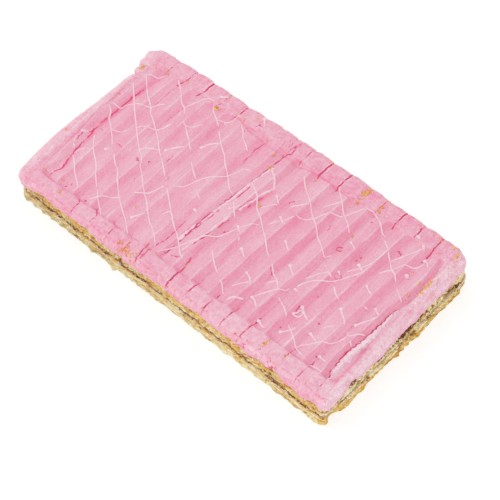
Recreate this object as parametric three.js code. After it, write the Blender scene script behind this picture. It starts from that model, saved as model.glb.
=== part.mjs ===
// A raspberry slice: two sheets of puff pastry with a thin seam of raspberry jam
// between them, under a thick layer of pink icing. The icing has a raised border
// round a shallow tray, and the tray is filled by leaning zigzag ridges with a
// crack along each valley. Millimetres, +X along the slice, +Z up.
import * as THREE from 'three';

// Layers, as heights above the surface that the slice lies on.
const BOTTOM_SHEET_TOP = 3.2;
const JAM_BOTTOM = 3.4;
const JAM_TOP = 4.1;
const TOP_SHEET_BOTTOM = 4.3;
const TOP_SHEET_TOP = 8.1;
const ICING_BOTTOM = 8.4;
const ICING_TOP = 12.6;

// The icing's outline and its tray.
const ICING = { left: -63.1, right: 63.7, front: -33.8, back: 34.3 };
const ICING_CORNERS = { frontLeft: 3.2, frontRight: 3.4, backRight: 5.2, backLeft: 4.6 };
const FRONT_SKEW = -0.014;
const TRAY = { left: -59.2, right: 60.2, front: -27.7, back: 27.3, corner: 3.5 };
const TRAY_DEPTH = 1.05;
const SHOULDER_DROP = 1.5;
const SHOULDER_WIDTH = 2.2;
const END_SLOPE_DROP = 0.9;

// The ridges: right of the tear, left of it, and how far each field leans.
const RIDGE_PITCH = 7.33;
const RIDGE_START = 8.5;
const LEFT_PITCH = 7.25;
const LEFT_START = -17.6;
const TEAR_X = -6.3;
const FIRST_VALLEY = -9;
const LAST_VALLEY = 7;
const CREST_AT = 0.56;
const RIGHT_SWELL = 0.5;
const LEFT_SWELL = 0.32;
const CRACK_HALF_WIDTH = 0.4;
const CRACK_DEPTH = 0.45;
const LIP_HEIGHT = 0.3;
const TEAR = -2;

// The pastry sheets' and the jam's outlines, and how many points go round each.
const SHEET = { left: -62.4, right: 63.9, front: -33.6, back: 33.4, corner: 3.2 };
const SHEET_SKEW = -0.024;
const END_SKEW = 0.026;
const JAM_SETBACK = 0.5;
const SHEET_POINTS = 168;
const RIM_WIDTH = 3;

const smooth = (low, high, value) => THREE.MathUtils.smoothstep(value, low, high);
const bump = (value, centre, width) => Math.exp(-(((value - centre) / width) ** 2));

// A gentle irregular wave along a length, different for each seed.
function ripple(length, wavelength, seed) {
  const turn = (2 * Math.PI * length) / wavelength;
  return (
    0.5 * Math.sin(turn + 1.7 * seed) +
    0.3 * Math.sin(1.73 * turn + 2.9 * seed) +
    0.2 * Math.sin(2.91 * turn + 4.3 * seed)
  );
}

// ---------------------------------------------------------------- the ridges

// Where valley number i runs at a distance y from the middle of the slice.
function valleyX(i, y) {
  if (i >= LAST_VALLEY) return 57.9 + 0.045 * y;
  if (i >= 0) return RIDGE_START + RIDGE_PITCH * i + 0.045 * y;
  if (i === -1) return 1.2 + 0.035 * y;
  if (i === TEAR) return TEAR_X + 0.07 * y;
  if (i === -3) return -12 + 0.035 * y;
  return LEFT_START + LEFT_PITCH * (i + 4) + 0.015 * y;
}

// The height of the zigzag, from -1 in a valley to 1 on a crest, times the
// swell of that ridge: the right field stands higher than the left one.
function ridgeHeight(x, y) {
  let i = FIRST_VALLEY - 1;
  while (i < LAST_VALLEY && x >= valleyX(i + 1, y)) i += 1;
  const start = valleyX(i, y);
  const end = i >= LAST_VALLEY ? start + 4 : valleyX(i + 1, y);
  const along = THREE.MathUtils.clamp((x - start) / (end - start), 0, 1);
  const rising = Math.sin((Math.PI / 2) * Math.min(along / CREST_AT, 1));
  const falling = 1 - Math.max(along - CREST_AT, 0) / (1 - CREST_AT);
  const profile = 2 * Math.min(rising, falling) - 1;
  const swell = THREE.MathUtils.lerp(LEFT_SWELL, RIGHT_SWELL, smooth(-12, 8, x));
  return profile * swell * (1 + 0.15 * Math.sin(2.4 * i));
}

// How much of a crack there is at a point: 1 on its line, 0 a little beside it.
function crackAt(x, y) {
  let depth = 0;
  for (let i = FIRST_VALLEY; i <= LAST_VALLEY; i += 1) {
    const away = Math.abs(x - valleyX(i, y)) / CRACK_HALF_WIDTH;
    depth = Math.max(depth, 1 - away);
  }
  return depth;
}

// The raised lip along the right of the long tear and of the end crack.
function lipAt(x, y) {
  const beside = (i) => bump(x - valleyX(i, y), 0.6, 0.5);
  return LIP_HEIGHT * Math.max(beside(TEAR), beside(LAST_VALLEY));
}

// ----------------------------------------------------------- icing's outline

// How far the icing's edge stands out from its plain rectangle on each side.
function edgeWander(side, along) {
  if (side === 'front') return FRONT_SKEW * along + 0.3 * ripple(along, 17, 1);
  if (side === 'back') {
    return 0.6 * bump(along, 12, 28) - 0.6 * bump(along, -61, 7) + 0.25 * ripple(along, 29, 2);
  }
  if (side === 'right') return 0.25 * ripple(along, 15, 3) + 0.35 * smooth(0, 22, along);
  const belly = 0.8 - 1.9 * bump(along, -14, 20) - 1.6 * bump(along, 29, 5);
  const notch = 1.5 * bump(along, 20.6, 1.1);
  const lobes = along > 21 ? -0.35 * Math.sin(1.6 * (along - 21)) : 0;
  return belly + notch + lobes;
}

// The rounded corner that a point of the plain rectangle lies in, if any.
function cornerOf(x, y) {
  const leftSide = x < 0;
  const frontSide = y < 0;
  const name = (frontSide ? 'front' : 'back') + (leftSide ? 'Left' : 'Right');
  const radius = ICING_CORNERS[name];
  const centreX = leftSide ? ICING.left + radius : ICING.right - radius;
  const centreY = frontSide ? ICING.front + radius : ICING.back - radius;
  const across = ((leftSide ? -1 : 1) * (x - centreX)) / radius;
  const up = ((frontSide ? -1 : 1) * (y - centreY)) / radius;
  return { leftSide, frontSide, radius, centreX, centreY, across, up };
}

// Moves a point of the plain rectangle to its place within the real outline:
// corners are rounded, and the edges wander.
function placeInOutline(x, y) {
  const corner = cornerOf(x, y);
  let px = x;
  let py = y;
  if (corner.across > 0 && corner.up > 0) {
    const a = Math.min(corner.across, 1);
    const b = Math.min(corner.up, 1);
    const roundA = a * Math.sqrt(1 - (b * b) / 2);
    const roundB = b * Math.sqrt(1 - (a * a) / 2);
    px = corner.centreX + (corner.leftSide ? -1 : 1) * corner.radius * roundA;
    py = corner.centreY + (corner.frontSide ? -1 : 1) * corner.radius * roundB;
  }
  const nearFront = 1 - smooth(ICING.front, ICING.front + 5, py);
  const nearBack = smooth(ICING.back - 5, ICING.back, py);
  const nearLeft = 1 - smooth(ICING.left, ICING.left + 4, px);
  const nearRight = smooth(ICING.right - 4, ICING.right, px);
  const notch = 0.35 * crackAt(px, py);
  return {
    x: px + nearLeft * edgeWander('left', py) + nearRight * edgeWander('right', py),
    y:
      py +
      nearFront * (edgeWander('front', px) + notch) +
      nearBack * (edgeWander('back', px) - notch),
  };
}

// The distance of a point of the plain rectangle from the rounded outline.
function insetOf(x, y) {
  const corner = cornerOf(x, y);
  if (corner.across > 0 && corner.up > 0) {
    const a = Math.min(corner.across, 1);
    const b = Math.min(corner.up, 1);
    return corner.radius * (1 - Math.sqrt(a * a + b * b - a * a * b * b));
  }
  return Math.min(x - ICING.left, ICING.right - x, y - ICING.front, ICING.back - y);
}

// How far inside the tray a point is; negative on the border round it.
function trayInset(x, y) {
  const halfX = (TRAY.right - TRAY.left) / 2 - TRAY.corner;
  const halfY = (TRAY.back - TRAY.front) / 2 - TRAY.corner;
  const qx = Math.abs(x - (TRAY.right + TRAY.left) / 2) - halfX;
  const qy = Math.abs(y - (TRAY.back + TRAY.front) / 2) - halfY;
  const outside = Math.hypot(Math.max(qx, 0), Math.max(qy, 0));
  return TRAY.corner - outside - Math.min(Math.max(qx, qy), 0);
}

// ---------------------------------------------------------- icing's surfaces

// The icing's top: border with a round shoulder, tray, ridges and cracks.
function icingTop(x, y, inset) {
  const inside = trayInset(x, y);
  const shoulder = -SHOULDER_DROP * Math.max(0, 1 - inset / SHOULDER_WIDTH) ** 2.6;
  const endSlope = -END_SLOPE_DROP * smooth(TRAY.right, ICING.right, x);
  const step = smooth(-1.1, 0.1, inside);
  const field = smooth(0.4, 2.2, inside);
  const floor = -TRAY_DEPTH * (1 - field) - 0.75 * field;
  const zigzag = field * (ridgeHeight(x, y) + lipAt(x, y));
  const pillow = (1 - step) * 0.12 * ripple(x, 21, 4);
  const crack = -CRACK_DEPTH * crackAt(x, y) * (0.35 + 0.65 * (1 - field));
  return ICING_TOP + shoulder + endSlope + step * floor + zigzag + pillow + crack;
}

// How far the icing hangs lower or higher at a place on the slice's edge. It
// droops most at the two front corners.
function icingDroop(x, y) {
  const front = 1 - smooth(-34, -24, y);
  const corners = smooth(44, 54, x) + 1 - smooth(-64, -57, x);
  return 0.35 * ripple(x + 0.8 * y, 15, 5) - 0.9 * front * corners;
}

// Collects shared vertices and triangles, and gives a geometry with crisp faces.
class Skin {
  constructor() {
    this.points = [];
    this.faces = [];
  }

  point(x, y, z) {
    this.points.push(x, y, z);
    return this.points.length / 3 - 1;
  }

  quad(a, b, c, d) {
    this.faces.push(a, b, c, a, c, d);
  }

  // A band between two closed rings of equal length, the lower ring first.
  band(lower, upper) {
    for (let i = 0; i < lower.length; i += 1) {
      const j = (i + 1) % lower.length;
      this.quad(lower[i], lower[j], upper[j], upper[i]);
    }
  }

  // A flat cover over a ring that runs anticlockwise seen from above.
  cover(ring, up) {
    const outline = ring.map((i) => new THREE.Vector2(this.points[3 * i], this.points[3 * i + 1]));
    for (const [a, b, c] of THREE.ShapeUtils.triangulateShape(outline, [])) {
      if (up) this.faces.push(ring[a], ring[b], ring[c]);
      else this.faces.push(ring[a], ring[c], ring[b]);
    }
  }

  geometry() {
    const geometry = new THREE.BufferGeometry();
    geometry.setAttribute('position', new THREE.Float32BufferAttribute(this.points, 3));
    geometry.setIndex(this.faces);
    geometry.computeVertexNormals();
    return geometry;
  }
}

// The outward directions round a closed ring of places.
function outwardDirections(places) {
  return places.map((_, i) => {
    const before = places[(i + places.length - 1) % places.length];
    const after = places[(i + 1) % places.length];
    const length = Math.hypot(after.x - before.x, after.y - before.y);
    return { x: (after.y - before.y) / length, y: -(after.x - before.x) / length };
  });
}

// The lines along which the icing's top is divided: each valley, its crack's
// two lips, the swelling side and the crest, then the border at each end.
function icingColumns() {
  const columns = [0, 0.45, 1.2, 2.6, 3.7, 4.7, 6.4].map((step) => () => ICING.left + step);
  for (let i = FIRST_VALLEY; i <= LAST_VALLEY; i += 1) {
    columns.push((y) => valleyX(i, y) - CRACK_HALF_WIDTH);
    columns.push((y) => valleyX(i, y));
    columns.push((y) => valleyX(i, y) + CRACK_HALF_WIDTH);
    if (i === LAST_VALLEY) break;
    for (const share of [0.3, CREST_AT]) {
      columns.push((y) => THREE.MathUtils.lerp(valleyX(i, y), valleyX(i + 1, y), share));
    }
  }
  for (const step of [3.2, 2.2, 1.2, 0.45, 0]) columns.push(() => ICING.right - step);
  return columns;
}

const ICING_ROWS = [
  ICING.front, ICING.front + 0.45, ICING.front + 1.2, ICING.front + 3, TRAY.front - 1.1,
  TRAY.front, TRAY.front + 1.4, -21, -14, -7, 0, 7, 14, 20,
  TRAY.back - 1.4, TRAY.back, TRAY.back + 1.1,
  ICING.back - 3, ICING.back - 1.2, ICING.back - 0.45, ICING.back,
];

// How far the icing's side stands out at each level between its top rim and its
// lower edge, and how far down that level is.
const ICING_SIDE = [
  { down: 0.3, out: 0.3 },
  { down: 0.65, out: 0.32 },
  { down: 1, out: 0.02 },
];

function icingGeometry() {
  const skin = new Skin();
  const columns = icingColumns();
  const grid = ICING_ROWS.map((rowY) =>
    columns.map((column) => {
      const columnX = column(rowY);
      const place = placeInOutline(columnX, rowY);
      const height = icingTop(place.x, place.y, insetOf(columnX, rowY));
      return skin.point(place.x, place.y, height);
    }),
  );
  const lastRow = ICING_ROWS.length - 1;
  const lastColumn = columns.length - 1;
  for (let r = 0; r < lastRow; r += 1) {
    for (let c = 0; c < lastColumn; c += 1) {
      skin.quad(grid[r][c], grid[r][c + 1], grid[r + 1][c + 1], grid[r + 1][c]);
    }
  }
  const rim = [
    ...grid[0].slice(0, lastColumn),
    ...grid.slice(0, lastRow).map((row) => row[lastColumn]),
    ...grid[lastRow].slice(1).reverse(),
    ...grid.slice(1).map((row) => row[0]).reverse(),
  ];
  const places = rim.map((i) => ({
    x: skin.points[3 * i],
    y: skin.points[3 * i + 1],
    z: skin.points[3 * i + 2],
  }));
  const outward = outwardDirections(places);
  let above = rim;
  for (const [level, { down, out }] of ICING_SIDE.entries()) {
    const ring = places.map((place, i) => {
      const edge = ICING_BOTTOM + icingDroop(place.x, place.y);
      const push = out + 0.16 * ripple(place.x + place.y, 9 + 3 * level, 6 + level);
      return skin.point(
        place.x + push * outward[i].x,
        place.y + push * outward[i].y,
        THREE.MathUtils.lerp(place.z, edge, down),
      );
    });
    skin.band(ring, above);
    above = ring;
  }
  const inner = places.map((place) =>
    skin.point(place.x * 0.95, place.y * 0.91, ICING_BOTTOM),
  );
  skin.band(inner, above);
  skin.cover(inner, false);
  return skin.geometry();
}

// --------------------------------------------------- pastry sheets and filling

// Evenly spaced places round a rectangle with rounded corners, anticlockwise.
function sheetOutline(setback) {
  const { left, right, front, back, corner } = SHEET;
  const path = new THREE.Path();
  path.moveTo(left + corner, front + setback);
  path.lineTo(right - corner, front + setback);
  path.absarc(right - corner, front + corner, corner - setback, -Math.PI / 2, 0, false);
  path.lineTo(right - setback, back - corner);
  path.absarc(right - corner, back - corner, corner - setback, 0, Math.PI / 2, false);
  path.lineTo(left + corner, back - setback);
  path.absarc(left + corner, back - corner, corner - setback, Math.PI / 2, Math.PI, false);
  path.lineTo(left + setback, front + corner);
  path.absarc(left + corner, front + corner, corner - setback, Math.PI, 1.5 * Math.PI, false);
  const places = path.getSpacedPoints(SHEET_POINTS).slice(0, SHEET_POINTS);
  return places.map((place) => ({
    x: place.x + END_SKEW * place.y * smooth(left, right, place.x),
    y: place.y + SHEET_SKEW * place.x * (1 - smooth(front, back, place.y)),
  }));
}

// The waves that the layers' meeting surfaces have near the slice's edge.
const flat = () => 0;
function seamWave(x, y) {
  return 0.3 * ripple(x + 0.6 * y, 19, 11);
}

// A layer of the slice between two levels. Its side follows `relief`, which says
// how far it stands out at a place and a height share; its top and bottom are
// flat in the middle and wavy at the rim.
function layerGeometry({ low, high, setback, levels, relief, lowWave, highWave }) {
  const skin = new Skin();
  const places = sheetOutline(setback);
  const outward = outwardDirections(places);
  const ringAt = (share) =>
    places.map((place, i) => {
      const push = relief(place.x, place.y, share);
      const base = low + lowWave(place.x, place.y);
      const top = high + highWave(place.x, place.y);
      return skin.point(
        place.x + push * outward[i].x,
        place.y + push * outward[i].y,
        THREE.MathUtils.lerp(base, top, share),
      );
    });
  const rings = levels.map(ringAt);
  for (let i = 1; i < rings.length; i += 1) skin.band(rings[i - 1], rings[i]);
  const innerRing = (height) =>
    places.map((place) => {
      const shrinkX = 1 - RIM_WIDTH / SHEET.right;
      const shrinkY = 1 - RIM_WIDTH / SHEET.back;
      return skin.point(place.x * shrinkX, place.y * shrinkY, height);
    });
  const innerLow = innerRing(low);
  const innerHigh = innerRing(high);
  skin.band(innerLow, rings[0]);
  skin.band(rings[rings.length - 1], innerHigh);
  skin.cover(innerLow, false);
  skin.cover(innerHigh, true);
  return skin.geometry();
}

// The lower sheet: its foot spreads a little, and the cut ends are ragged.
function bottomSheetRelief(x, y, share) {
  const flakes = 0.4 * ripple(x + y, 6.5 + 5 * share, 21 + 3 * share);
  const foot = 0.5 * (1 - share) ** 2;
  const cutEnd = 0.35 * smooth(60, 63, x) * ripple(y, 4.2, 24);
  const bite = -1.7 * smooth(58, 62, x) * bump(y, -31, 2.6);
  const frontFoot = (1 - smooth(-34, -31, y)) * (1 - smooth(0.1, 0.5, share));
  const nubs = frontFoot * (1.0 * bump(x, -30.6, 1.1) + 1.5 * bump(x, -21.6, 1.6));
  return 0.25 + flakes + foot + cutEnd + bite + nubs;
}

// The upper sheet: rougher, and one pointed flake stands out at the right end.
function topSheetRelief(x, y, share) {
  const flakes = 0.4 * ripple(x + 0.7 * y, 5.5 + 4 * share, 31 + 5 * share);
  const tuck = -0.2 * smooth(0.55, 1, share);
  const point = 1.5 * smooth(60, 63, x) * bump(y, 25.6, 1.7) * bump(share, 0.35, 0.4);
  return 0.25 + flakes + tuck + point;
}

// The jam: it draws back from the edge unevenly.
function jamRelief(x, y) {
  return 0.3 * ripple(x + y, 11, 41);
}

// ------------------------------------------------------------------ materials

const material = (color, roughness) =>
  new THREE.MeshStandardMaterial({ color, roughness, metalness: 0 });

const icingMaterial = material(0xeca8c0, 0.75);
const topPastryMaterial = material(0xd9b56c, 0.85);
const bottomPastryMaterial = material(0xdec387, 0.85);
const jamMaterial = material(0x6e4132, 0.6);

// -------------------------------------------------------------------- the part

function piece(name, geometry, look) {
  const mesh = new THREE.Mesh(geometry, look);
  mesh.name = name;
  return mesh;
}

const slice = new THREE.Group();
slice.add(
  piece(
    'pastry_bottom',
    layerGeometry({
      low: 0,
      high: BOTTOM_SHEET_TOP,
      setback: 0,
      levels: [0, 0.22, 0.48, 0.74, 1],
      relief: bottomSheetRelief,
      lowWave: flat,
      highWave: seamWave,
    }),
    bottomPastryMaterial,
  ),
  piece(
    'raspberry_filling',
    layerGeometry({
      low: JAM_BOTTOM,
      high: JAM_TOP,
      setback: JAM_SETBACK,
      levels: [0, 1],
      relief: jamRelief,
      lowWave: seamWave,
      highWave: seamWave,
    }),
    jamMaterial,
  ),
  piece(
    'pastry_top',
    layerGeometry({
      low: TOP_SHEET_BOTTOM,
      high: TOP_SHEET_TOP,
      setback: 0.3,
      levels: [0, 0.3, 0.65, 1],
      relief: topSheetRelief,
      lowWave: seamWave,
      highWave: icingDroop,
    }),
    topPastryMaterial,
  ),
  piece('icing', icingGeometry(), icingMaterial),
);

// The origin is at the middle of the slice's underside.
const bounds = new THREE.Box3().setFromObject(slice);
const centre = bounds.getCenter(new THREE.Vector3());
slice.position.set(-centre.x, -centre.y, -bounds.min.z);

export default slice;
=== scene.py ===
import math

import bpy
import numpy as np
from mathutils import Matrix, Vector
from mathutils.bvhtree import BVHTree


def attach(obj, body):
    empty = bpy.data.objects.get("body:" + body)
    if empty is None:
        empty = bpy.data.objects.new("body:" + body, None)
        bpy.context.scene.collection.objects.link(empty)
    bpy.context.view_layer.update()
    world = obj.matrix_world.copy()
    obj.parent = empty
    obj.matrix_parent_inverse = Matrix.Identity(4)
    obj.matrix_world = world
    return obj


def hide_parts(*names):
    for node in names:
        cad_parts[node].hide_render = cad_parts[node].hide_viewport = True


# A raspberry slice: two sheets of flaky pastry with a seam of jam between them
# under thick pink icing with a raised border, leaning ridges, cracks, a net of
# thin pale drizzle and golden crumbs. The shapes are drawn in millimetres, and
# ORIGIN is where the middle of the underside lies in that drawing.

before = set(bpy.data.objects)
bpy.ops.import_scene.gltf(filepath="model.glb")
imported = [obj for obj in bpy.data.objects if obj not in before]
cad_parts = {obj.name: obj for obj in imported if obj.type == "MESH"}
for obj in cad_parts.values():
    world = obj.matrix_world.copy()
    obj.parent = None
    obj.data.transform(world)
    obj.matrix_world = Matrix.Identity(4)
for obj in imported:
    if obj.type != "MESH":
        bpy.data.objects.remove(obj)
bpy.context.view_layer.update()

MM = 0.001
ORIGIN = (0.82005, -0.16632)

BOTTOM_SHEET_TOP = 3.2
JAM_BOTTOM, JAM_TOP = 3.4, 4.1
TOP_SHEET_BOTTOM, TOP_SHEET_TOP = 4.3, 8.1
ICING_BOTTOM, ICING_TOP = 8.4, 12.6

ICING_LEFT, ICING_RIGHT, ICING_FRONT, ICING_BACK = -63.1, 63.7, -33.8, 34.3
# The icing's corners: which side they are on along x and y, and their radius.
ICING_CORNERS = ((-1, -1, 3.2), (1, -1, 2.0), (1, 1, 5.2), (-1, 1, 4.6))
FRONT_SKEW = -0.014
ROWS_STEP = 0.42
TRAY_LEFT, TRAY_RIGHT, TRAY_FRONT, TRAY_BACK = -59.2, 60.2, -27.7, 27.3
TRAY_CORNER = 3.5
TRAY_DEPTH = 0.75
SHOULDER_DROP, SHOULDER_WIDTH = 1.5, 2.2

FIRST_VALLEY, LAST_VALLEY, TEAR = -9, 7, -2
CREST_AT = 0.62
LEFT_SWELL, RIGHT_SWELL = 0.34, 0.5
LEFT_FIELD_SHIFT = -1.75

SHEET_LEFT, SHEET_RIGHT, SHEET_FRONT, SHEET_BACK = -62.4, 63.9, -33.6, 33.4
SHEET_CORNER, SHARP_CORNER = 3.2, 1.4
SHEET_SKEW, END_SKEW = -0.024, 0.026
RIM_WIDTH = 3.0
SIDE_STEP = 0.3
LINE_REACH = 0.8


# -------------------- shape functions

def smooth(low, high, value):
    """0 up to low, 1 from high on, and an S-shaped rise between them."""
    share = np.clip((np.asarray(value, float) - low) / (high - low), 0, 1)
    return share * share * (3 - 2 * share)


def bump(value, centre, width):
    """1 at the centre, falling to 0 on both sides like a bell."""
    return np.exp(-(((np.asarray(value, float) - centre) / width) ** 2))


def span(value, start, end, soft):
    """1 between start and end, 0 outside, with soft edges."""
    return smooth(start - soft, start + soft, value) - smooth(end - soft, end + soft, value)


def bumps(value, *terms):
    """The sum of some bumps, each given as amount, centre and width."""
    return sum(amount * bump(value, *place) for amount, *place in terms)


def spans(value, *terms):
    """The sum of some spans, each given as amount, start, end and softness."""
    return sum(amount * span(value, *place) for amount, *place in terms)


def ripple(length, wavelength, seed):
    """A gentle irregular wave along a length, different for each seed."""
    turn = 2 * math.pi * np.asarray(length, float) / wavelength
    waves = ((0.5, 1, 1.7), (0.3, 1.73, 2.9), (0.2, 2.91, 4.3))
    return sum(height * np.sin(pace * turn + shift * seed) for height, pace, shift in waves)


NOISE_SIZE = 256


def noise(u, v, seed):
    """Smooth random bumps between -1 and 1, about one per unit of u and of v."""
    table = np.random.default_rng(seed).uniform(-1, 1, (NOISE_SIZE, NOISE_SIZE))
    u, v = np.broadcast_arrays(np.asarray(u, float), np.asarray(v, float))
    cell_u, cell_v = np.floor(u).astype(int), np.floor(v).astype(int)
    share_u, share_v = smooth(0, 1, u - cell_u), smooth(0, 1, v - cell_v)
    near_u, far_u = cell_u % NOISE_SIZE, (cell_u + 1) % NOISE_SIZE
    near_v, far_v = cell_v % NOISE_SIZE, (cell_v + 1) % NOISE_SIZE
    low = table[near_u, near_v] * (1 - share_u) + table[far_u, near_v] * share_u
    high = table[near_u, far_v] * (1 - share_u) + table[far_u, far_v] * share_u
    return low * (1 - share_v) + high * share_v


def grain(x, y, *terms):
    """The sum of some noises, each given as amount, size along x and y, and seed."""
    return sum(amount * noise(x / size_x, y / size_y, seed) for amount, size_x, size_y, seed in terms)


def breaks(x, y, usual, amount, size, seed):
    """How strongly a broken line shows from place to place, between 0.1 and 1."""
    return np.clip(usual + grain(x, y, (amount, *size, seed)), 0.1, 1)


def distance_to_path(x, y, path):
    """The distance of every point from a path of straight stretches."""
    nearest = np.full(np.shape(x), np.inf)
    for (ax, ay), (bx, by) in zip(path, path[1:]):
        dx, dy = bx - ax, by - ay
        along = np.clip(((x - ax) * dx + (y - ay) * dy) / (dx * dx + dy * dy), 0, 1)
        nearest = np.minimum(nearest, np.hypot(x - ax - along * dx, y - ay - along * dy))
    return nearest


def line_mask(distance, strength):
    """A mask for a line. The materials show it where it is above a threshold, so
    a line with more strength is a wider one."""
    return strength * np.clip(1 - np.abs(distance) / LINE_REACH, 0, 1)


def draw_lines(x, y, lines, patchy):
    """The mask of some lines, each given as strength and path."""
    return np.maximum.reduce([
        line_mask(distance_to_path(x, y, path), strength * patchy) for strength, path in lines])


# -------------------- the ridges

# The valleys that don't run straight, as (y, x) places from the front to the back.
BENT_VALLEYS = {
    -9: ((-34, -54.3), (-27, -54.3), (-25, -54.6), (-22, -53.6), (-15, -54.8), (-8, -55.5),
         (-3, -56.0), (5, -55.7), (12, -55.4), (20, -54.6), (27, -53.4), (34, -53.3)),
    -3: ((-34, -13.0), (-25.5, -11.8), (-20, -10.8), (-12, -11.0), (0, -12.0), (16, -11.9),
         (26, -11.6), (30, -10.4), (34, -10.2)),
    TEAR: ((-34, -8.2), (-25, -7.6), (-17, -7.3), (-3, -7.0), (5, -6.0), (10, -5.5),
           (15, -4.5), (25, -4.0), (34, -4.6)),
    LAST_VALLEY: ((-34, 58.6), (-27, 57.6), (-24, 56.8), (-20, 56.4), (-15, 56.6), (-10, 57.2),
                  (-5, 57.7), (0, 57.8), (3, 58.1), (7, 59.5), (12, 60.0), (20, 60.2),
                  (26, 58.8), (34, 58.6)),
}


def valley_x(index, y):
    """Where a valley runs at each distance y from the middle of the slice."""
    y = np.asarray(y, float)
    wander = 0.12 * ripple(y + 9 * index, 13, 50 + index)
    if index in BENT_VALLEYS:
        return np.interp(y, *zip(*BENT_VALLEYS[index])) + wander
    if index >= 0:
        return 8.5 + 7.33 * index + 0.045 * y + wander
    if index == -1:
        return 1.2 + 0.035 * y + wander
    in_field = smooth(-29, -26.5, y) * (1 - smooth(25.5, 28.5, y))
    return -17.6 + 7.25 * (index + 4) + 0.015 * y + LEFT_FIELD_SHIFT * in_field + wander


# Cracks and scratches away from the valleys: depth, half width and path.
SCRATCHES = (
    (0.4, 0.22, ((-3.9, 22), (-3.8, 24.4), (-3.2, 27), (-2.0, 28), (-2.5, 31.3), (-2.2, 33))),
    (0.3, 0.22, ((-3.5, 27.8), (-3.0, 31))),
    (0.3, 0.25, ((-11.6, 15.7), (-12.0, 18.4), (-11.7, 20), (-12.3, 22), (-11.5, 26), (-11.2, 27))),
    (0.25, 0.25, ((-47.8, 14), (-47.5, 24))),
    (0.3, 0.25, ((-40.8, 12), (-40.2, 22))),
    (0.35, 0.28, ((-39.8, -13), (-39.5, -16))),
    (0.3, 0.25, ((-30.1, 3.5), (-30.0, -0.5))),
    (0.35, 0.3, ((-12.2, -27), (-11.8, -32))),
    (0.4, 0.3, ((-13.7, -25.5), (-13.2, -30), (-12.7, -33))),
    (0.35, 0.3, ((-6.0, -24.5), (-4, -24.2), (-3.4, -22.8))),
    (0.4, 0.3, ((-7.9, -25.3), (-7.2, -21.5), (-6.6, -20.2))),
    (0.4, 0.28, ((-0.6, -21), (0, -26), (0.4, -33.5))),
    (0.3, 0.3, ((-57.8, -8), (-57.4, -11))),
    (0.3, 0.25, ((-54.5, -3.2), (-52, -3.5))),
    (0.3, 0.25, ((-46.4, -4), (-44.4, -4.4))),
    (0.35, 0.3, ((-38.3, -4.3), (-36.6, -5.2))),
    (0.35, 0.25, ((20.2, -8.5), (22, -10.2))),
    (0.5, 0.3, ((35.6, -13.3), (35.7, -15), (36.4, -16.2))),
    (0.3, 0.25, ((24.1, 15.6), (24.2, 13.4))),
    (0.4, 0.3, ((53.2, 34), (53.8, 31), (53.6, 25))),
    (0.3, 0.25, ((46.2, 32), (46.8, 29.5))),
    (0.3, 0.25, ((50.8, -28), (51.2, -25))),
)

# Small dark pits in the icing, as places with a radius.
PITS = (
    (-25.4, -4.0, 0.35), (-34.2, -2.7, 0.45), (-47.6, 25.5, 0.5), (-24.6, 27.8, 0.5), (-16.6, 30, 0.5),
    (-56, -6, 0.5), (-47.5, -26.5, 0.45), (-46.8, -25, 0.35), (-39.3, -26.8, 0.5), (-33.5, -10.6, 0.35),
    (9.2, 7.2, 0.35), (9.3, 5.8, 0.35), (22.8, -1.5, 0.35), (22.4, -2.6, 0.3), (31.1, 11.2, 0.3),
    (33, 24.4, 0.45), (38.4, 12.3, 0.35), (38.1, 10.8, 0.5), (46.2, 21.3, 0.4), (46.9, 20.9, 0.35),
    (46.1, 20.3, 0.35), (43.6, -12.8, 0.35), (43.9, -14.2, 0.4), (35.8, -22.7, 0.4), (0.9, -7.6, 0.5),
    (28.6, -11, 0.35), (-45.9, -10, 0.3), (52.5, 16, 0.35), (53.5, 23.2, 0.5), (50.4, -23.6, 0.45),
)

# Faint rings where drops have burst, as places with a radius and a strength.
RINGS = (
    (-25.9, -4.0, 0.8, 0.95), (-36.7, -3.8, 0.8, 0.8), (-38.6, -5.0, 0.9, 0.8), (10.0, 13.7, 1.1, 0.9),
    (31.6, 10.6, 0.9, 0.92), (37.5, 2.3, 1.1, 0.86), (37.3, -6.3, 0.7, 0.9), (46.4, 20.8, 0.9, 0.95),
    (53.7, 7.2, 0.8, 0.88), (54.0, 16.0, 0.9, 0.86), (-11.1, -2.4, 0.8, 0.84), (1.2, -7.4, 0.8, 0.9),
)


def scratches_at(x, y):
    """How deep the scratches and pits are, and their dark mask of painted shade, at each point."""
    depth, dark = np.zeros(np.shape(x)), np.zeros(np.shape(x))
    flecks = 0.8 + grain(x, y, (0.45, 0.4, 0.4, 60))
    patchy = 0.9 + grain(x, y, (0.3, 0.8, 0.8, 47))
    x, y = x + grain(x, y, (0.22, 0.9, 0.9, 61)), y + grain(x, y, (0.22, 0.9, 0.9, 62))
    for deep, half_width, path in SCRATCHES:
        away = distance_to_path(x, y, path)
        depth = np.maximum(depth, deep * np.clip(1.25 - away / half_width, 0, 1))
        dark = np.maximum(dark, line_mask(away, 0.66 + 0.8 * deep))
    for centre_x, centre_y, radius in PITS:
        away = np.hypot(x - centre_x, y - centre_y) / radius
        depth = np.maximum(depth, 0.4 * np.clip(1.3 - away, 0, 1))
        dark = np.maximum(dark, flecks * np.clip(1.4 - 0.6 * away, 0, 1.1))
    for centre_x, centre_y, radius, strength in RINGS:
        away = np.hypot(x - centre_x, y - centre_y) - radius
        depth = np.maximum(depth, 0.2 * np.clip(1 - np.abs(away) / 0.3, 0, 1))
        dark = np.maximum(dark, line_mask(away, strength * patchy))
    return depth, dark


# -------------------- icing's outline

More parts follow.
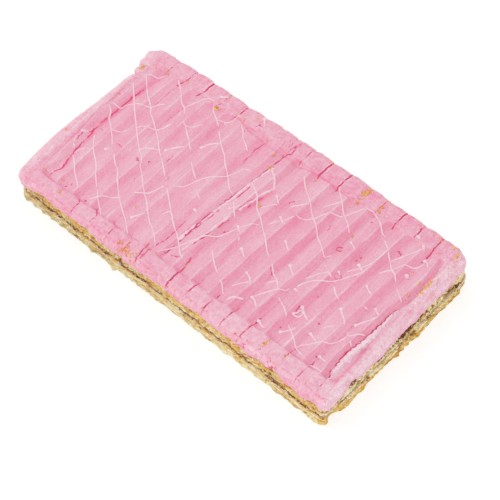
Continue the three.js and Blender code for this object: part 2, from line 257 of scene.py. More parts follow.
def edge_wander(side, along):
    """How far the icing's edge strays along x or y from its plain rectangle."""
    rough = grain(along, len(side), (0.1, 1.6, 1, 71), (0.1, 0.7, 1, 72))
    if side == "front":
        return FRONT_SKEW * along + 0.3 * ripple(along, 17, 1) + rough * (1 + 1.5 * bump(along, -62, 4))
    if side == "back":
        return bumps(along, (0.6, 12, 28), (-0.6, -61, 7)) + 0.25 * ripple(along, 29, 2) + rough
    if side == "right":
        notch = -0.8 * bump(along, -22.5, 3)
        return 0.25 * ripple(along, 15, 3) + 0.35 * smooth(0, 22, along) + notch + 0.6 * rough
    lobes = np.where(along > 21, -0.35 * np.sin(1.6 * (along - 21)), 0)
    belly = 0.8 + bumps(along, (-1.9, -14, 20), (-1.6, 29, 5), (1.5, 20.6, 1.1))
    return belly + lobes + 0.6 * rough


def round_corners(x, y):
    """Moves points of the plain rectangle inside its rounded corners, and gives
    each point's distance from the rounded outline."""
    inset = np.minimum.reduce([x - ICING_LEFT, ICING_RIGHT - x, y - ICING_FRONT, ICING_BACK - y])
    round_x, round_y = x, y
    for side_x, side_y, radius in ICING_CORNERS:
        centre_x = (ICING_LEFT if side_x < 0 else ICING_RIGHT) - side_x * radius
        centre_y = (ICING_FRONT if side_y < 0 else ICING_BACK) - side_y * radius
        a, b = side_x * (x - centre_x) / radius, side_y * (y - centre_y) / radius
        inside = (a > 0) & (b > 0)
        a, b = np.clip(a, 0, 1), np.clip(b, 0, 1)
        round_x = np.where(inside, centre_x + side_x * radius * a * np.sqrt(1 - b * b / 2), round_x)
        round_y = np.where(inside, centre_y + side_y * radius * b * np.sqrt(1 - a * a / 2), round_y)
        inset = np.where(inside, radius * (1 - np.sqrt(a * a + b * b - a * a * b * b)), inset)
    return round_x, round_y, inset


def tray_inset(x, y):
    """How far inside the tray a point is; negative on the border round it."""
    q_x = np.maximum(TRAY_LEFT - x, x - TRAY_RIGHT) + TRAY_CORNER
    q_y = np.maximum(TRAY_FRONT - y, y - TRAY_BACK) + TRAY_CORNER
    outside = np.hypot(np.maximum(q_x, 0), np.maximum(q_y, 0))
    wander = grain(x, y, (0.2, 3.3, 3.3, 58), (0.1, 1.3, 1.3, 59))
    return TRAY_CORNER - outside - np.minimum(np.maximum(q_x, q_y), 0) + wander


def icing_edge_height(x, y):
    """The height of the icing's lower edge round the slice."""
    corners = smooth(44, 54, x) + 1 - smooth(-64, -57, x)
    droop = 0.35 * ripple(x + 0.8 * y, 15, 5) - 0.9 * (1 - smooth(-34, -24, y)) * corners
    front_line = 1.3 * span(x, -56, -29, 3) + bumps(
        x, (-0.9, -16, 5), (0.5, -6, 3), (1.3, 13, 1.8), (-0.9, 33, 2.5), (1.5, 43.2, 1.8),
        (-1.1, 47.5, 2), (-1.6, 53.5, 3), (0.9, 59, 1.5))
    right_line = bumps(y, (1.9, -24.5, 4), (-0.5, -10, 4), (0.5, 4, 5), (-0.9, 31, 3))
    sides = (1 - smooth(-33.5, -31.5, y)) * front_line + smooth(60, 62.5, x) * right_line
    ragged = 0.22 * noise((x + y) / 1.1, 0.3, 73) + 0.14 * noise((x + y) / 0.5, 0.6, 74)
    return ICING_BOTTOM + droop + sides + ragged


# -------------------- mesh making

def add_object(name, data):
    thing = bpy.data.objects.new(name, data)
    bpy.context.scene.collection.objects.link(thing)
    return thing


class Skin:
    """Points with their colour masks, and the faces between them."""

    def __init__(self):
        self.points, self.masks, self.faces = [], [], []
        self.count = 0

    def add(self, points, masks):
        """Adds points of any array shape and returns their numbers in that shape."""
        points = np.asarray(points, float)
        shape = points.shape[:-1]
        self.points.append(points.reshape(-1, 3))
        self.masks.append(np.broadcast_to(np.asarray(masks, float), shape + (3,)).reshape(-1, 3))
        start, self.count = self.count, self.count + len(self.points[-1])
        return np.arange(start, self.count).reshape(shape)

    def quads(self, a, b, c, d):
        self.faces.extend(np.stack([a, b, c, d], -1).reshape(-1, 4).tolist())

    def band(self, lower, upper):
        """Joins two closed rings that run anticlockwise seen from above."""
        self.quads(lower, np.roll(lower, -1), np.roll(upper, -1), upper)

    def cover(self, ring, up):
        self.faces.append(ring.tolist() if up else ring.tolist()[::-1])

    def piece(self, name, material, node=None):
        """Makes the visible piece, and lets it ride on the slice."""
        points = (np.concatenate(self.points) - np.array([*ORIGIN, 0])) * MM
        mesh = bpy.data.meshes.new(name)
        mesh.from_pydata(points.tolist(), [], self.faces)
        mesh.validate()
        masks = np.clip(np.concatenate(self.masks), 0, 1)
        layer = mesh.color_attributes.new("masks", "FLOAT_COLOR", "POINT")
        layer.data.foreach_set("color", np.column_stack([masks, np.ones(len(masks))]).ravel())
        mesh.polygons.foreach_set("use_smooth", [True] * len(mesh.polygons))
        mesh.materials.append(material)
        mesh.update()
        thing = add_object(name, mesh)
        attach(thing, "root")
        if node:
            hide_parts(node)
        return thing


def spaced(start, end, step, *fine_places):
    """Even places from start to end, closer together near each fine place."""
    places = [start]
    while places[-1] < end:
        closeness = max(math.exp(-((places[-1] - fine) ** 2)) for fine in fine_places)
        places.append(places[-1] + step * (1 - 0.62 * closeness))
    scale = (end - start) / (places[-1] - start)
    return np.array([start + (place - start) * scale for place in places])


# -------------------- the icing

# Lines of the grid over each face of a ridge and past the last ridge, and the step
# of the grid before the first ridge, as a share of the way to it.
FACE_LINES, END_LINES, START_STEP = 12, 20, 0.038


def icing_grid():
    """The grid over the icing: x and y of each point, which ridge it is on, and
    its share of the way over that ridge."""
    rows = spaced(ICING_FRONT, ICING_BACK, ROWS_STEP, ICING_FRONT, TRAY_FRONT, TRAY_BACK, ICING_BACK)
    swing = np.linspace(0, 1, FACE_LINES)
    clustered = (0.55 * swing + 0.45 * (1 - np.cos(math.pi * swing)) / 2)[:-1]
    over_ridge = np.concatenate([CREST_AT * clustered, CREST_AT + (1 - CREST_AT) * clustered])
    valleys = [valley_x(index, rows) for index in range(FIRST_VALLEY, LAST_VALLEY + 1)]
    lines = [ICING_LEFT + 0 * rows, *valleys, ICING_RIGHT + 0 * rows]
    start_strip, end_strip = spaced(0, 1, START_STEP, 0)[:-1], np.linspace(0, 1, END_LINES)
    strips = [start_strip, *[over_ridge] * (len(valleys) - 1), end_strip]
    columns, ridge, share = [], [], []
    for index, (start, end, strip) in enumerate(zip(lines, lines[1:], strips), FIRST_VALLEY - 1):
        for part in strip:
            columns.append(start + part * (end - start))
            ridge.append(index)
            share.append(part)
    x = np.array(columns).T
    return x, rows[:, None] + 0 * x, np.array(ridge) + 0 * x, np.array(share) + 0 * x


# How open each border crack is, at the front and at the back, from the first valley.
BORDER_CRACKS = (
    (0.15, 0.55), (0.3, 0.6), (0.55, 0.95), (0.55, 0.35), (0.6, 0.65), (0.6, 0.2), (0.3, 0.45),
    (0.15, 0.3), (0.7, 0.4), (0.7, 1.0), (0.8, 0.95), (0.65, 0.35), (0.85, 0.6), (0.35, 0.9),
    (0.55, 0.55), (0.5, 0.7), (0.5, 0.2),
)

# Where valleys are open in the tray: start, end, softness, strength and how far
# the strength varies.
TRAY_CRACKS = {
    FIRST_VALLEY: ((-27.5, 18, 2, 0.95, 0.75),),
    -3: ((-26, -11, 2, 0.6, 0),),
    TEAR: ((-19, 26, 2, 0.7, 0.4),),
    LAST_VALLEY: ((-28, 5, 1.2, 0.75, 0.2), (-23, -1, 3, 1.25, 0.4)),
}


def valley_strength(y, index):
    """How open the crack along a valley is: patchy, and mostly on the border."""
    at_front, at_back = BORDER_CRACKS[index - FIRST_VALLEY]
    patchy = noise(y / 1.9, 3.0 * index, 75)
    front_reach = -26.5 + 3.0 * at_front
    strength = at_front * (1 - smooth(front_reach - 1.5, front_reach + 1.5, y))
    strength = strength * (0.75 + 0.25 * smooth(-33.5, -32, y)) + at_back * smooth(25.5, 27.5, y)
    strength = strength * np.clip(1.0 + 0.55 * patchy, 0.3, 1.3)
    if index == FIRST_VALLEY:
        patchy = noise(y / 2.4, 1.0, 77)
    for start, end, soft, usual, varying in TRAY_CRACKS.get(index, ()):
        strength = np.maximum(strength, span(y, start, end, soft) * (usual + varying * patchy))
    if index == LAST_VALLEY:
        strength = np.maximum(strength, 0.7 * span(y, 5, 22, 2) * np.clip(patchy, 0, 1))
    return np.clip(strength, 0, 1.7)


def straying(index, y):
    """How far the crack along a valley strays from the valley's line."""
    amount = 0.3 if index == LAST_VALLEY else 0.18 if index in BENT_VALLEYS else 0.1
    return amount * (noise(y / 0.9, index * 5.0, 76) + 0.6 * noise(y / 0.45, index * 3.0, 78))


def valley_cracks(x, y):
    """The cracks along the valleys: how deep in one each point lies, the dark mask
    that paints shade into them, and the pale mask of their edges."""
    groove, dark, edges = np.zeros(x.shape), np.zeros(x.shape), np.zeros(x.shape)
    on_border = 1 - span(y, -28.5, 27.5, 1.5)
    for index in range(FIRST_VALLEY, LAST_VALLEY + 1):
        strength = valley_strength(y, index)
        away = np.abs(x - valley_x(index, y) - straying(index, y))
        groove = np.maximum(groove, strength * np.clip(1.4 - away / 0.24, 0, 1))
        broken = 0.16 * noise(y / 0.6, index * 7.0, 56)
        open_enough = np.where(strength > 0.05, 0.58 + 0.5 * strength + broken, 0)
        dark = np.maximum(dark, line_mask(away, open_enough))
        pale_edge = line_mask(away - 0.5, 0.5 + 0.32 * strength + 1.3 * broken)
        edges = np.maximum(edges, on_border * np.where(strength > 0.3, pale_edge, 0))
    return np.clip(groove, 0, 1), dark, edges


def ridge_shape(x, y, ridge, share):
    """The zigzag's height, and how far over its ridge each point is: 0 in the
    valley before it, CREST_AT on the crest, 1 in the valley after it."""
    left_end = np.where(ridge < FIRST_VALLEY, smooth(0.62, 1, share), 0)
    on_ridges = (ridge >= FIRST_VALLEY) & (ridge < LAST_VALLEY)
    along = np.where(on_ridges, share, CREST_AT + (1 - CREST_AT) * left_end)
    rising = np.sin(math.pi / 2 * np.minimum(along / CREST_AT, 1))
    falling = (1 - np.maximum(along - CREST_AT, 0) / (1 - CREST_AT)) ** 1.2
    profile = np.where(ridge >= LAST_VALLEY, -0.4, 2 * np.minimum(rising, falling) - 1)
    profile = profile + 0.14 * on_ridges * bump(along, CREST_AT - 0.01, 0.03)
    swell = LEFT_SWELL + (RIGHT_SWELL - LEFT_SWELL) * smooth(-12, 8, x)
    return profile * swell * (1 + 0.15 * np.sin(2.4 * ridge)) * (1 + grain(x, y, (0.3, 9, 11, 81))), along


# The pale ragged lips beside the cracks, each with its strength and path.
LIPS = (
    (1.42, ((-7.9, -18.5), (-7.4, -12), (-6.8, -7.5), (-6.4, -3), (-5.5, 3.4), (-4.8, 12), (-4.2, 16),
            (-3.5, 20.3))),
    (1.08, ((-4.3, -21.4), (-3.8, -17.7), (-3.2, -14.2), (-2.4, -10.6), (-1.9, -6.4), (-1.5, -2.3))),
    (1.15, ((-0.9, 1.6), (-0.2, 5.5), (0.4, 8.9), (1.0, 11.9), (1.8, 14.8), (0.2, 17), (-3.0, 19.6))),
    (0.82, ((-3.3, 24.5), (-2.6, 17))),
    (0.82, ((-6.2, -24.6), (-3.9, -24.9))),
    (1.0, ((50.6, -27.4), (51.7, -26.7), (53.2, -26.9), (54.9, -27.0))),
    (0.95, ((-55.6, -4.4), (-56.5, -6.2), (-57.9, -8.1))),
    (0.84, ((-58.3, -9.6), (-57.4, -12.5), (-55.8, -14.1))),
    (0.92, ((-54.2, -20.8), (-54.0, -22.8), (-55.2, -25.6), (-56.6, -25.9))),
    (0.86, ((-46.8, -5.4), (-45.7, -5.0))),
)

# The dark lines along the tear's lips, each with its strength and path.
LIP_SHADOWS = (
    (0.9, ((-7.2, -16.0), (-6.1, -8.0), (-5.5, -2.4), (-4.6, 3.2), (-4.0, 10.2))),
    (0.9, ((-3.1, -17.5), (-2.4, -13), (-1.3, -7.2), (-0.9, -3.5))),
    (0.84, ((0.3, 4), (1.3, 9), (2.3, 13.5))),
    (0.8, ((-1.7, -1.5), (-1.1, 4), (-0.3, 8.5))),
)


def lips_at(x, y):
    """The raised lips beside the cracks and the painted shadows along them, as the pale
    and the dark mask."""
    patchy = 1 + grain(x, y, (0.2, 0.7, 0.7, 98), (0.12, 2.2, 2.2, 82))
    broken = 1 + grain(x, y, (0.22, 1.4, 1.4, 99))
    x = x + grain(x, y, (0.16, 0.8, 0.8, 64), (0.12, 2.5, 2.5, 65))
    return draw_lines(x, y, LIPS, patchy), draw_lines(x, y, LIP_SHADOWS, broken)


def near_tear(x, y):
    """How much a point lies on the strip between the two lips of the tear, and
    in the deeper pink beside the second one."""
    first = np.interp(y, [-18, -3, 3.4, 12, 20], [-7.6, -6.4, -5.5, -4.8, -3.5])
    second = np.interp(y, [-21, -10.6, -2.3, 5.5, 15.5], [-4.3, -2.4, -1.5, -0.2, 2.0])
    strip = smooth(0, 0.8, x - first) * smooth(0, 0.8, second - x) * span(y, -19, 18, 3)
    return strip, bump(x - second, 1.2, 0.7) * span(y, 2, 14, 2)


def end_lip_and_trough(x, y):
    """The ragged pale lip beside the crack at the right end, and the trough."""
    ragged = 0.22 * noise(y / 0.9, 4.5, 66) + 0.12 * noise(y / 0.4, 6.5, 67)
    past_crack = x - valley_x(LAST_VALLEY, y) - straying(LAST_VALLEY, y)
    width = np.interp(y, [-28, -24, -18, -8, 0, 5], [0.3, 1.5, 2.3, 1.9, 1.4, 0.4]) + ragged
    sides = np.minimum(0.9 * (past_crack - 0.3 + 0.5 * ragged), 0.4 * (width - past_crack))
    patchy = grain(x, y, (0.22, 0.5, 0.6, 83), (0.12, 1.3, 2.5, 79))
    lip = np.clip(0.7 + sides + patchy, 0, 1) * span(y, -28, 5, 0.8)
    trough = bump(x - 0.25 * ripple(y, 17, 9), 60.3, 1.05) * spans(y, (1, -28.3, -11, 2), (0.45, -11, 4, 3))
    return lip, trough * (1 - smooth(0.6, 0.9, lip))


def ridge_tone(x, y, along):
    """How light the pink is over a ridge, in painted light and shade: a light rising
    face with a painted highlight on the crest, then a band of painted shade down to the valley."""
    places = [0, 0.25, 0.85, 1, 1.03, 1.2, 1.5, 1.8, 2]
    across = np.where(along < CREST_AT, along / CREST_AT, 1 + (along - CREST_AT) / (1 - CREST_AT))
    right = np.interp(across, places, [0.52, 0.6, 0.6, 0.6, 0.42, 0.3, 0.3, 0.38, 0.48])
    left = np.interp(across, places, [0.5, 0.58, 0.61, 0.62, 0.5, 0.44, 0.41, 0.44, 0.48])
    tone = left + (right - left) * smooth(-12, 8, x)
    crest_highlight = bump(along, CREST_AT - 0.01, 0.034) * smooth(-58, -56, x)
    tone = tone + 0.6 * breaks(x, y, 0.55, 0.6, (3, 5), 93) * crest_highlight
    streaks = grain(x - 0.03 * y, y, (0.1, 1.5, 18, 88), (0.1, 0.6, 9, 89))
    return tone + streaks + grain(x, y, (0.08, 7, 12, 80))


def border_tone(x, y, ridge, inset):
    """How light the pink is on the border, paler towards the two ends, with painted light and shade."""
    tone = 0.6 + 0.03 * noise(np.floor(ridge) * 3.3, np.sign(y) * 4.4, 90)
    # Painted light and shade: the border's front half lighter, and the back border darker, from the middle
    # rightwards.
    tone = tone + 0.2 * smooth(-5, 30, x) * (y < 0) - 0.1 * smooth(20, 30, y) * smooth(-10, 10, x)
    tone = tone + grain(x, y, (0.08, 3, 2, 91), (0.26, 0.5, 0.5, 68), (0.16, 1.1, 0.7, 69))
    # Painted shade, mostly darker, along the crease at the front rim.
    rim_crease_shade = (1 - smooth(-32.5, -31, y)) * bump(inset, 0.95, 0.17)
    tone = tone - 0.4 * (1.6 * breaks(x, y, 0.7, 0.8, (2.6, 2.6), 92) - 0.5) * rim_crease_shade
    # Wrinkles near the rim in patches and at the two ends of the front half, drawn as darker lines: painted
    # shade.
    wrinkled = (1 - smooth(1.2, 3.0, inset)) * smooth(-0.1, 0.5, noise(x / 5, y / 5, 51))
    wrinkled = wrinkled + 0.6 * (1 - smooth(-60, -54, x)) + 0.7 * smooth(49, 55, x)
    wrinkle_shade = 1 - smooth(0, 0.16, np.abs(noise(x / 1.6, y / 1.1, 50)))
    return tone - 0.5 * np.clip(wrinkled, 0, 1) * (y < 0) * wrinkle_shade


def end_paleness(x, y, trough):
    """How much the pink fades to nearly white at the two ends."""
    specks = smooth(0.1, 0.6, noise(x / 0.6, y / 0.6, 95))
    strokes = grain(x, y, (1, 0.5, 5, 94), (1.1, 0.45, 0.5, 70))
    left_end = (1 - smooth(-61.2, -58.8, x)) * (0.42 + 0.25 * strokes)
    right_end = smooth(58.6, 61, x + 1.7 * smooth(22, 28, y)) * (0.3 + 0.34 * strokes + 0.24 * specks)
    # In the trough the paleness gives way to painted shade.
    right_end = right_end * (1 - 0.95 * trough) * (1 + 0.45 * span(y, -30, -8, 3))
    corner = 1 - 0.5 * smooth(60, 63, x) * (1 - smooth(-33, -26, y))
    return np.maximum(left_end, right_end * corner)


# The thin creases along the back of the tray, round its left end and at its front, painted darker as shade.
BACK_CREASE = ((-24, 27.8), (-18.8, 26.6), (-13.4, 26.0), (-8.3, 25.8), (-2.7, 26.0), (2.4, 25.7),
               (5.7, 26.6), (9.3, 27.1), (16, 27.0), (22, 26.6))
LEFT_CREASE = ((-60.0, 17), (-59.3, 8.6), (-59.6, 5.1), (-59.7, -0.2), (-58.8, -8.8), (-58.5, -16.7),
               (-58.4, -21.9), (-58.3, -24.6), (-56.9, -27.1), (-53.8, -28.0), (-49.6, -28.0),
               (-46.4, -28.2))
FRONT_CREASE = ((37.9, -27.8), (42.2, -27.7), (47.6, -27.7), (50.7, -27.5), (53.9, -27.3),
                (57.8, -27.5), (60.8, -26.5), (62.2, -24.3))
# The fine lines along the tray's left end run this far apart.
FINE_LINES = 0.55


def icing_tone(x, y, inside, field, inset, along, ridge, trough):
    """The tone mask of the icing: 0 is deep pink and 1 nearly white. It holds painted light and shade."""
    tone = field * ridge_tone(x, y, along) + (1 - field) * border_tone(x, y, ridge, inset)
    at_front = (1 - smooth(-29.5, -25, y)) * (1 - smooth(56.5, 58.5, x))
    rising = 1 - smooth(0.4 * CREST_AT, 0.95 * CREST_AT, along)
    falling = smooth(CREST_AT, CREST_AT + 0.15, along)
    broken = breaks(x, y, 0.75, 0.6, (2.2, 2.2), 97)
    # Painted shadows at the inner edge of the border: at the front under its edge, stronger on the rising
    # faces, and along the back.
    front_wall_shade = 0.8 * rising * bump(inside, 0.1, 0.4) * broken + 0.35 * falling * bump(inside, 0.8, 0.9)
    front_wall_shade = front_wall_shade + 0.4 * (1 - smooth(-32, -22, x)) * broken * bump(inside, 0, 0.4)
    at_back = smooth(22, 26, y) * (0.35 + 0.65 * span(x, -24, 27, 3))
    back_wall_shade = 0.3 * at_back * broken * bump(inside, -0.05, 0.2)
    # Painted shade in the creases.
    crease_shade = 0.75 * bump(distance_to_path(x, y, BACK_CREASE), 0, 0.17)
    for crease in (LEFT_CREASE, FRONT_CREASE):
        crease_shade = crease_shade + 0.7 * bump(distance_to_path(x, y, crease), 0, 0.16) * (0.7 + 0.3 * broken)
    # The fine lines at the tray's left end are painted darker: painted shade in their grooves.
    lines = np.clip(np.cos(2 * math.pi * inside / FINE_LINES), 0, 1) * span(inside, -0.3, 0.9, 0.2)
    lines = 0.2 * (1 - smooth(-59.5, -57.5, x)) * lines * broken
    # Painted shadow of the tray's left wall beside the first valley.
    left_wall_shade = bump(x - valley_x(FIRST_VALLEY, y), 0.4, 0.9) * span(y, -25, 24, 3)
    left_wall_shade = 0.6 * left_wall_shade * (0.8 + 0.5 * noise(y / 4, 1.5, 55))
    strip, beside = near_tear(x, y)
    tone = tone - at_front * front_wall_shade - back_wall_shade - crease_shade - lines - left_wall_shade
    # The trough at the right end is painted deeper pink as shade.
    return fade(tone + 0.14 * strip - 0.3 * beside - 0.6 * trough, end_paleness(x, y, trough))


def fade(tone, pale):
    """The tone, slightly deepened, and faded to nearly white where it is pale."""
    return 0.75 * tone + (1 - 0.75 * tone) * pale


def pit_mask(x, y, rough):
    """The dark mask of the fine pits in the icing's rim, painted shade: stronger where
    the surface is low, mostly at the front, and in patches."""
    at_right = smooth(44, 54, x)
    more = (0.1 + 0.2 * smooth(-40, -10, x)) * (1 - at_right) - 0.12 * at_right
    share = 0.7 + (1 - smooth(-32, -30, y)) * more
    share = share * np.clip(0.9 + 0.3 * noise((x + y) / 4, 3.5, 57), 0.6, 1.1)
    return share * np.clip(0.56 - 0.2 * rough, 0.3, 0.74)


def fine_relief(x, y, inside, field, ridge, share):
    """The icing's small ups and downs: pillows and blocks on the border, grain,
    strokes in the tray, fine lines at its left end and a rough right end."""
    rounding = 0.06 + 0.1 * smooth(30, 35, y)
    border = 0.12 * ripple(x, 21, 4) + rounding * np.sin(math.pi * share) ** 0.5
    border = border + 0.05 * noise(np.floor(ridge) * 3.3, np.sign(y) * 2.2, 84)
    rough_end = smooth(59, 61, x) * grain(x, y, (0.16, 0.6, 0.6, 100), (0.14, 1.2, 2.2, 63))
    strokes = grain(x, y, (0.05, 0.8, 14, 87), (0.07, 1.7, 20, 88))
    lines = (1 - smooth(-59.5, -57.5, x)) * span(inside, -0.8, 0.9, 0.2)
    lines = -0.07 * lines * np.cos(2 * math.pi * inside / FINE_LINES)
    everywhere = grain(x, y, (0.05, 1.1, 1.3, 85), (0.04, 0.6, 1.6, 86))
    return (1 - field) * border + field * strokes + rough_end + lines + everywhere


def icing_heights(x, y, inset, ridge, share):
    """The icing's height at each grid point, and its colour masks: tone, which holds
    painted light and shade, dark, which is painted shade, and pale."""
    inside = tray_inset(x, y)
    softness = 0.4 + 0.4 * np.maximum(1 - smooth(-25, -22, y), 1 - smooth(-56, -53, x))
    field = smooth(-softness, softness + 0.2, inside)
    zigzag, along = ridge_shape(x, y, ridge, share)
    tear_lip, tear_shadow = lips_at(x, y)
    end_lip, trough = end_lip_and_trough(x, y)
    groove, crack_dark, crack_edges = valley_cracks(x, y)
    scratch_depth, scratch_dark = scratches_at(x, y)
    shoulder = SHOULDER_DROP * np.maximum(0, 1 - inset / SHOULDER_WIDTH) ** 2.6
    height = ICING_TOP - 0.08 - shoulder - 1.1 * smooth(61.0, 64.3, x) + field * (zigzag - TRAY_DEPTH)
    height = height + 0.25 * smooth(0.45, 1.1, tear_lip) + 0.45 * smooth(0.5, 1, end_lip) - 0.5 * trough
    height = height + end_lip * grain(x, y, (0.18, 0.5, 0.5, 49))
    height = height + fine_relief(x, y, inside, field, ridge, share)
    height = height - (0.3 - 0.2 * field) * groove - (0.6 - 0.2 * field) * scratch_depth

    tone = icing_tone(x, y, inside, field, inset, along, ridge, trough)
    rough = grain(x, y, (1, 0.7, 0.45, 96), (0.6, 0.45, 0.3, 97))
    rim_pits = pit_mask(x, y, rough) * (1 - smooth(1.0, 1.9, inset))
    dark = np.maximum.reduce([crack_dark, scratch_dark, tear_shadow, rim_pits])
    granular = smooth(59.5, 61, x) * (1 - trough) * (0.61 + grain(x, y, (0.1, 1.1, 2.2, 48)))
    granular = np.maximum(granular, 0.53 * (1 - smooth(-61, -59.5, x)))
    pale = np.maximum.reduce([tear_lip, end_lip, crack_edges, granular])
    return height, np.stack([tone, dark, pale * (1 - smooth(0.75, 0.95, dark))], -1)


def place_outline(x, y, share):
    """Moves the grid's points near its edges out to the icing's uneven outline."""
    crack = valley_cracks(x, y)[0]
    scallop = 0.55 * np.sin(math.pi * np.clip(share, 0, 1)) ** 0.6 - 0.4
    scallop = scallop * span(x, -56, 58, 3) * (0.5 + 0.5 * (1 - smooth(-12, 0, x)))
    front = edge_wander("front", x) + 0.35 * crack
    back = edge_wander("back", x) - 0.35 * crack + scallop
    left = (1 - smooth(ICING_LEFT, ICING_LEFT + 4, x)) * edge_wander("left", y)
    right = smooth(ICING_RIGHT - 4, ICING_RIGHT, x) * edge_wander("right", y)
    front = (1 - smooth(ICING_FRONT, ICING_FRONT + 5, y)) * front
    return x + left + right, y + front + smooth(ICING_BACK - 5, ICING_BACK, y) * back


# How far the icing's side stands out at each share of the way down.
SIDE_OUT = ((0, 0.0), (0.3, 0.3), (0.65, 0.32), (1, 0.02))
SIDE_LEVELS = 9
# The size of the icing's hidden base along x and y, as a share of its rim's.
BASE_SHARE = (0.95, 0.91)


def add_icing_side(skin, rim):
    """The rough side from the rim down to the icing's lower edge."""
    points = skin.points[0][rim]
    x, y, z = points.T
    turned = np.roll(points, -6, axis=0) - np.roll(points, 6, axis=0)
    length = np.hypot(turned[:, 0], turned[:, 1])
    out_x, out_y = turned[:, 1] / length, -turned[:, 0] / length
    edge = icing_edge_height(x, y)
    pale = 0.35 * smooth(60, 63, x) + 0.3 * (1 - smooth(-64, -61, x))
    rim_crack = smooth(0.6, 0.95, skin.masks[0][rim, 1])
    above, along = rim, x + y
    for down in np.arange(1, SIDE_LEVELS + 1) / SIDE_LEVELS:
        rough = noise(along / 0.8, down * 3.5, 96) + 0.6 * noise(along / 0.45, down * 7, 97)
        waves = 0.16 * ripple(along, 9 + 3 * down, 6 + down) * math.sin(math.pi * min(down, 0.9))
        push = np.interp(down, *zip(*SIDE_OUT)) + waves
        push = push + 0.17 * rough * math.sin(math.pi * down) - 0.3 * rim_crack * (1 - down)
        places = np.stack([x + push * out_x, y + push * out_y, z + (edge - z) * down], -1)
        # Painted light and shade on the side: lighter where it bulges out, darker pits where it sinks in,
        # and the shade of rim cracks running down from the top.
        tone = fade(0.56 + 0.26 * rough + 0.32 * noise(along / 0.4, down * 9, 54), pale)
        dark = np.maximum(pit_mask(x, y, rough), rim_crack * (1 - down))
        ring = skin.add(places, np.stack([tone, dark, 0 * tone], -1))
        skin.band(ring, above)
        above = ring
    return above


def make_icing(material):
    """The icing: a grid over the top, a rough side below its rim, and a base."""
    skin = Skin()
    plain_x, plain_y, ridge, share = icing_grid()
    x, y, inset = round_corners(plain_x, plain_y)
    x, y = place_outline(x, y, share)
    height, masks = icing_heights(x, y, inset, ridge, share)
    grid = skin.add(np.stack([x, y, height], -1), masks)
    skin.quads(grid[:-1, :-1], grid[:-1, 1:], grid[1:, 1:], grid[1:, :-1])
    rim = np.concatenate([grid[0, :-1], grid[:-1, -1], grid[-1, 1:][::-1], grid[1:, 0][::-1]])
    edge = add_icing_side(skin, rim)
    base_points = skin.points[0][rim] * np.array([*BASE_SHARE, 0]) + np.array([0, 0, ICING_BOTTOM])
    base = skin.add(base_points, (0.45, 0, 0))
    skin.band(base, edge)
    skin.cover(base, False)
    return skin.piece("pink_icing", material, "icing")


# -------------------- pastry and filling

def sheet_outline(setback):
    """Even places round a rectangle with rounded corners, anticlockwise from the
    front right, with the directions that point outwards."""
    left, right = SHEET_LEFT + setback, SHEET_RIGHT - setback
    front, back = SHEET_FRONT + setback, SHEET_BACK - setback
    dense = []
    corners = ((right, front, 1, -1, -90), (right, back, 1, 1, 0),
               (left, back, -1, 1, 90), (left, front, -1, -1, 180))
    for corner_x, corner_y, side_x, side_y, start in corners:
        radius = (SHARP_CORNER if start == -90 else SHEET_CORNER) - setback
        for angle in np.radians(np.linspace(start, start + 90, 40)):
            dense.append((corner_x - side_x * radius + radius * math.cos(angle),
                          corner_y - side_y * radius + radius * math.sin(angle)))
    dense = np.array(dense + dense[:1])
    lengths = np.concatenate([[0], np.cumsum(np.hypot(*np.diff(dense, axis=0).T))])
    marks = np.linspace(0, lengths[-1], int(round(lengths[-1] / SIDE_STEP)) + 1)[:-1]
    x, y = (np.interp(marks, lengths, dense[:, axis]) for axis in (0, 1))
    skewed_x = x + END_SKEW * y * smooth(SHEET_LEFT, SHEET_RIGHT, x)
    skewed_y = y + SHEET_SKEW * x * (1 - smooth(SHEET_FRONT, SHEET_BACK, y))
    d_x, d_y = (np.roll(skewed, -3) - np.roll(skewed, 3) for skewed in (skewed_x, skewed_y))
    length = np.hypot(d_x, d_y)
    return skewed_x, skewed_y, d_y / length, -d_x / length


def seam_height(x, y):
    """The height of the middle of the jam seam round the slice."""
    wave = 0.3 * ripple(x + 0.6 * y, 19, 11) + 0.12 * noise((x + y) / 2.4, 0.5, 101)
    return (BOTTOM_SHEET_TOP + TOP_SHEET_BOTTOM) / 2 + wave


def on_side(x, y, side):
    """1 on the front or on the right side of the sheets, and 0 elsewhere."""
    return 1 - smooth(-33, -30, y) if side == "front" else smooth(60, 62.5, x)


def seam_opening(x, y):
    """How open the dark seam is round the slice, from 0, pinched, to 1, gaping."""
    front = 0.3 + spans(x, (0.5, -51, -43, 1.5), (0.3, -39.5, -36, 1), (0.5, -30, -24, 1.5),
                        (0.4, -20, -8, 2), (0.5, 45, 55, 2), (0.5, 58.5, 64, 1.5), (0.15, 22, 36, 3))
    right = 0.02 + spans(y, (0.3, -30, -25, 1.5), (0.15, -13, -6, 2), (0.3, 22, 27, 1.5))
    front_share, right_share = on_side(x, y, "front"), on_side(x, y, "right")
    elsewhere = 0.45 + 0.4 * noise((x + y) / 7, 1.5, 102)
    rest = np.clip(1 - front_share - right_share, 0, 1)
    opening = front_share * front + right_share * right + rest * elsewhere
    return np.clip(opening + 0.2 * noise((x + y) / 1.3, 2.5, 103), 0, 1)


# The holes between the flakes at the right end, painted dark as shade: middle
# along the end, half length, middle and half height as shares of the upper sheet, and strength.
END_HOLES = (
    (-27.5, 1.4, 0.8, 0.25, 1.0), (-22, 1.5, 0.85, 0.25, 1.1), (-16.7, 1.2, 0.85, 0.2, 0.85),
    (-12.5, 1.6, 0.85, 0.2, 0.8), (-8.6, 2.2, 0.8, 0.3, 1.05), (3.4, 3.9, 0.72, 0.36, 1.3),
    (9.9, 1.3, 0.62, 0.25, 1.0), (13.3, 1.5, 0.5, 0.25, 0.85), (18, 1.0, 0.5, 0.3, 0.75),
    (24.8, 3.2, 0.3, 0.3, 1.3),
)


